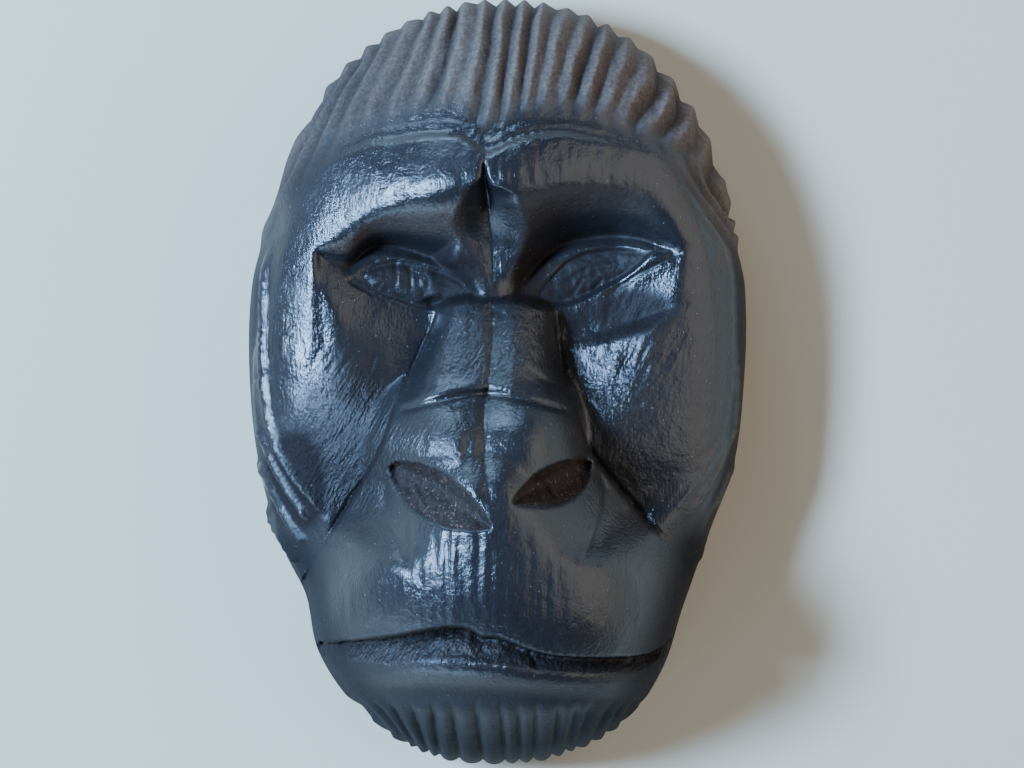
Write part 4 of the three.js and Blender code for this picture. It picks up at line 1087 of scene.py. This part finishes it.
def make_mask(settings):
    """The mask as one mesh object at the origin, in metres, standing over the middle of the CAD box."""
    depths = (millimetres(settings.hair_depth), millimetres(settings.beard_depth))
    points, faces, back, looks = mask_surface(depths)
    middle = (CAD_LOW + CAD_HIGH) / 2
    points = points * MM + (middle.x, middle.y, CAD_LOW.z)
    mesh = bpy.data.meshes.new("carved_mask")
    mesh.from_pydata(points.tolist(), [], [*faces.tolist(), back.tolist()])
    mesh.shade_smooth()
    for name, share in zip(LOOKS, looks.T):
        mesh.attributes.new(name, "FLOAT", "POINT").data.foreach_set("value", np.ascontiguousarray(share))
    mesh.update()
    mask = bpy.data.objects.new("carved_mask", mesh)
    bpy.context.scene.collection.objects.link(mask)
    mask.data.materials.append(stained_wood(settings))
    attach(mask, "root")
    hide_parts(NODE)


def linear(hex_colour):
    """An sRGB hex colour as linear red, green, blue and alpha."""
    parts = [int(hex_colour.lstrip("#")[i:i + 2], 16) / 255 for i in (0, 2, 4)]
    return (*[c / 12.92 if c <= 0.04045 else ((c + 0.055) / 1.055) ** 2.4 for c in parts], 1)


def feed(tree, node, values):
    """Sets a node's properties and inputs by name or number. Another node's output as a value is linked."""
    for name, value in values.items():
        if isinstance(value, bpy.types.NodeSocket):
            tree.links.new(value, node.inputs[name])
        elif isinstance(name, str) and hasattr(node, name):
            setattr(node, name, value)
        else:
            node.inputs[name].default_value = value


def add(tree, kind, values, output=0):
    """Adds a shader node, feeds it, and gives the output asked for."""
    node = tree.nodes.new("ShaderNode" + kind)
    feed(tree, node, values)
    return node.outputs[output]


def stained_wood(settings):
    """Close-grained wood stained near black and rubbed to a low shine. The hair is dull and holds warm grey
    dust, with less of it towards the left as painted shade, and the same grey under the brows is painted
    light. The nostrils and mouth are rough from the knife; the lid grooves, eyes, inner eye corners, the band
    under the upper lip and the knife cuts are nearly black and dull as painted shade; and pale specks of dust
    lie about."""
    material = bpy.data.materials.new("stained_wood")
    material.use_nodes = True
    tree = material.node_tree
    shader = tree.nodes["Principled BSDF"]
    node = functools.partial(add, tree)
    place = node("TexCoord", {}, "Object")
    hair, dust, gouged, edge, pebbled = (node("Attribute", {"attribute_name": name}, "Fac") for name in LOOKS)
    # Fibres 0.3 mm wide and 2.2 mm long, a pebbled surface of half a millimetre, and broad patches of 9 mm
    fibre_scale = (1 / (0.3 * MM), 1 / (2.2 * MM), 1 / (0.3 * MM))
    stretched = node("Mapping", {"Scale": fibre_scale, "Vector": place})
    fibre = node("TexNoise", {"Scale": 1.0, "Detail": 3.0, "Vector": stretched})
    pebble = node("TexNoise", {"Scale": 1 / (0.5 * MM), "Detail": 4.0, "Roughness": 0.6, "Vector": place})
    broad = node("TexNoise", {"Scale": 1 / (9 * MM), "Detail": 3.0, "Vector": place})
    tone = node("Mix", {"data_type": "RGBA", 0: fibre, 6: settings.stain, 7: settings.pale_stain}, 2)
    patchy = node("MapRange", {"From Min": 0.38, "From Max": 0.66, "To Min": 0.55, "Value": pebble})
    # Dust grey where dust lies, and the same grey as painted light under the brows
    dust_and_light_share = node("Math", {"operation": "MULTIPLY", 0: patchy, 1: dust})
    # Rough floors, and the grooves and hollows where shade is painted, are nearly black, with a reddish
    # streak of bare wood where dust, or under the brows painted light, lies
    streaks = node("MapRange", {"From Min": 0.62, "From Max": 0.7, "Value": fibre})
    dark = node("Mix", {"data_type": "RGBA", 0: patchy, 6: linear("#0b090b"), 7: linear("#211c1d")}, 2)
    dusted_or_lit = node("MapRange", {"From Max": 0.14, "Value": dust})
    bared = node("Math", {"operation": "MULTIPLY", 0: streaks, 1: dusted_or_lit})
    floor = node("Mix", {"data_type": "RGBA", 0: bared, 6: dark, 7: settings.bare_wood}, 2)
    bare_and_shaded = node("Mix", {"data_type": "RGBA", 0: gouged, 6: tone, 7: floor}, 2)
    dusty_and_lit = node("Mix", {"data_type": "RGBA", 0: dust_and_light_share, 6: bare_and_shaded, 7: settings.dust}, 2)
    # Dust specks about 1.1 mm apart, drawn a little larger than real so that they show
    speck = node("TexVoronoi", {"Scale": 1 / (1.1 * MM), "Vector": place})
    near = node("Math", {"operation": "LESS_THAN", 0: speck, 1: 0.055})
    specked = node("Mix", {"data_type": "RGBA", 0: near, 6: dusty_and_lit, 7: linear("#77777b")}, 2)
    # Rubbed wood shines in broad patches; worn or gouged wood is dull, and painted shade loses its shine too
    gloss = node("MapRange", {"From Min": 0.3, "From Max": 0.7, "To Min": 0.17, "To Max": 0.3,
                              "Value": broad})
    unrubbed_and_shaded = node("Math", {"operation": "MAXIMUM", 0: gouged, 1: edge})
    worn_and_shaded = node("Math", {"operation": "MAXIMUM", 0: hair, 1: unrubbed_and_shaded})
    rough = node("Mix", {0: worn_and_shaded, 2: gloss, 3: 0.6})
    shine = node("MapRange", {"To Min": 0.5, "To Max": 0.07, "Value": worn_and_shaded})
    uneven = node("MapRange", {"To Min": 0.8, "To Max": 2.2, "Value": pebbled})
    pebbles = node("Math", {"operation": "MULTIPLY", 0: pebble, 1: uneven})
    # Wrinkles on the cheeks, 0.4 mm wide and 1.8 mm long, leaning 60 degrees
    leaning = node("Mapping", {"vector_type": "TEXTURE", "Rotation": (0, 0, math.radians(-30)),
                               "Scale": (0.4 * MM, 1.8 * MM, MM), "Vector": place})
    wrinkle = node("TexNoise", {"Scale": 1.0, "Detail": 2.0, "Vector": leaning})
    deep = node("Math", {"operation": "MULTIPLY", 0: pebbled, 1: 3.0})
    wrinkles = node("Math", {"operation": "MULTIPLY_ADD", 0: wrinkle, 1: deep, 2: pebbles})
    height = node("Math", {"operation": "MULTIPLY_ADD", 0: fibre, 1: 0.35, 2: wrinkles})
    normal = node("Bump", {"Strength": 1.0, "Distance": 0.12 * MM, "Height": height})
    feed(tree, shader, {"Base Color": specked, "Roughness": rough, "IOR": 1.5, "Specular IOR Level": shine,
                        "Normal": normal})
    return material


def pale_floor(settings):
    """Matt pale card, which gives no reflections."""
    material = bpy.data.materials.new("pale_floor")
    material.use_nodes = True
    tree = material.node_tree
    feed(tree, tree.nodes["Principled BSDF"], {"Base Color": settings.floor, "Roughness": 0.9})
    return material


def make_floor(settings):
    """A wide flat floor under the mask."""
    half = FLOOR_HALF_WIDTH
    mesh = bpy.data.meshes.new("floor")
    corners = [(-half, -half, 0), (half, -half, 0), (half, half, 0), (-half, half, 0)]
    mesh.from_pydata(corners, [], [(0, 1, 2, 3)])
    mesh.materials.append(pale_floor(settings))
    floor = bpy.data.objects.new("floor", mesh)
    floor.location.z = CAD_LOW.z - FLOOR_GAP
    bpy.context.scene.collection.objects.link(floor)


def make_light(name, direction, distance, size, colour, power):
    """A soft box light that faces the mask from a direction."""
    light = bpy.data.lights.new(name, "AREA")
    light.shape = "RECTANGLE"
    light.size, light.size_y = size
    light.energy = power
    light.color = colour
    holder = bpy.data.objects.new(name, light)
    holder.location = np.array(direction, float) / np.linalg.norm(direction) * distance
    holder.rotation_mode = "QUATERNION"
    holder.rotation_quaternion = holder.location.to_track_quat("Z", "Y")
    bpy.context.scene.collection.objects.link(holder)


def make_camera():
    """Looks straight down, far enough back to see the mask as the photograph does."""
    data = bpy.data.cameras.new("camera")
    data.sensor_width = SENSOR_WIDTH
    data.lens = SENSOR_WIDTH * CAMERA_DISTANCE / FRAME_WIDTH
    camera = bpy.data.objects.new("camera", data)
    camera.location = (CAMERA_SIDE, CAMERA_UP, WIDEST_HEIGHT * MM + CAMERA_DISTANCE)
    bpy.context.scene.collection.objects.link(camera)
    bpy.context.scene.camera = camera


def make_world():
    """A dim, even studio."""
    world = bpy.data.worlds.new("studio")
    world.use_nodes = True
    background = world.node_tree.nodes["Background"]
    background.inputs["Color"].default_value = linear("#c4c9d6")
    background.inputs["Strength"].default_value = STUDIO_STRENGTH
    bpy.context.scene.world = world


def depth(name, description, deep):
    """A depth in millimetres that a user may change."""
    return FloatProperty(name=name, description=description, default=deep * MM, min=0, unit="LENGTH")


def tint(name, description, colour):
    """A colour that a user may change."""
    return FloatVectorProperty(name=name, description=description, default=linear(colour), size=4, min=0,
                               max=1, subtype="COLOR")


def strength(name, description, watts):
    """A light's power that a user may change."""
    return FloatProperty(name=name, description=description, default=watts, min=0, unit="POWER")


class MaskSettings(bpy.types.PropertyGroup):
    """The depths, colours and lights that a user would change."""

    hair_depth: depth("Hair grooves", "How deep the gouge cut the hair", HAIR_DEPTH)
    beard_depth: depth("Beard grooves", "How deep the knife cut the beard", BEARD_DEPTH)
    stain: tint("Stain", "The black stain", "#131215")
    pale_stain: tint("Pale stain", "The stain on fibres that took less of it", "#201f22")
    bare_wood: tint("Bare wood", "Wood without stain, in the nostrils and mouth", "#7a5b4b")
    # Its grey is dust, and under the brows painted light
    dust: tint("Dust", "Dust on the crests of the hair and in the hollows", "#655850")
    floor: tint("Floor", "The card under the mask", "#beb29c")
    key_power: strength("Key light", "Power of the cool light on the left", 36.0)
    upper_power: strength("Upper light", "Power of the cool light above the crown", 6.0)
    fill_power: strength("Fill light", "Power of the warm light on the right", 6.5)
    low_power: strength("Low light", "Power of the cool light by the chin", 5.5)


class MASK_OT_carve(bpy.types.Operator):
    """Carve the mask."""

    bl_idname = "mask.carve"
    bl_label = "Carve the mask"

    def execute(self, context):
        make_mask(context.scene.mask_settings)
        return {"FINISHED"}


class MASK_OT_stage(bpy.types.Operator):
    """Lay the floor and set the lights, the world and the camera."""

    bl_idname = "mask.stage"
    bl_label = "Set the stage"

    def execute(self, context):
        settings = context.scene.mask_settings
        make_floor(settings)
        make_world()
        for name, *place in LIGHTS:
            make_light(name, *place, getattr(settings, name + "_power"))
        make_camera()
        return {"FINISHED"}


class MASK_PT_panel(bpy.types.Panel):
    """Lists the settings and the steps in the sidebar."""

    bl_label = "Carved mask"
    bl_idname = "MASK_PT_panel"
    bl_space_type = "VIEW_3D"
    bl_region_type = "UI"
    bl_category = "Mask"

    def draw(self, context):
        for name in MaskSettings.__annotations__:
            self.layout.prop(context.scene.mask_settings, name)
        self.layout.operator(MASK_OT_carve.bl_idname)
        self.layout.operator(MASK_OT_stage.bl_idname)


CLASSES = (MaskSettings, MASK_OT_carve, MASK_OT_stage, MASK_PT_panel)


def register():
    for cls in CLASSES:
        bpy.utils.register_class(cls)
    bpy.types.Scene.mask_settings = PointerProperty(type=MaskSettings)


def unregister():
    del bpy.types.Scene.mask_settings
    for cls in reversed(CLASSES):
        bpy.utils.unregister_class(cls)


def main():
    register()
    bpy.ops.mask.carve()
    bpy.ops.mask.stage()


if __name__ == "__main__":
    main()
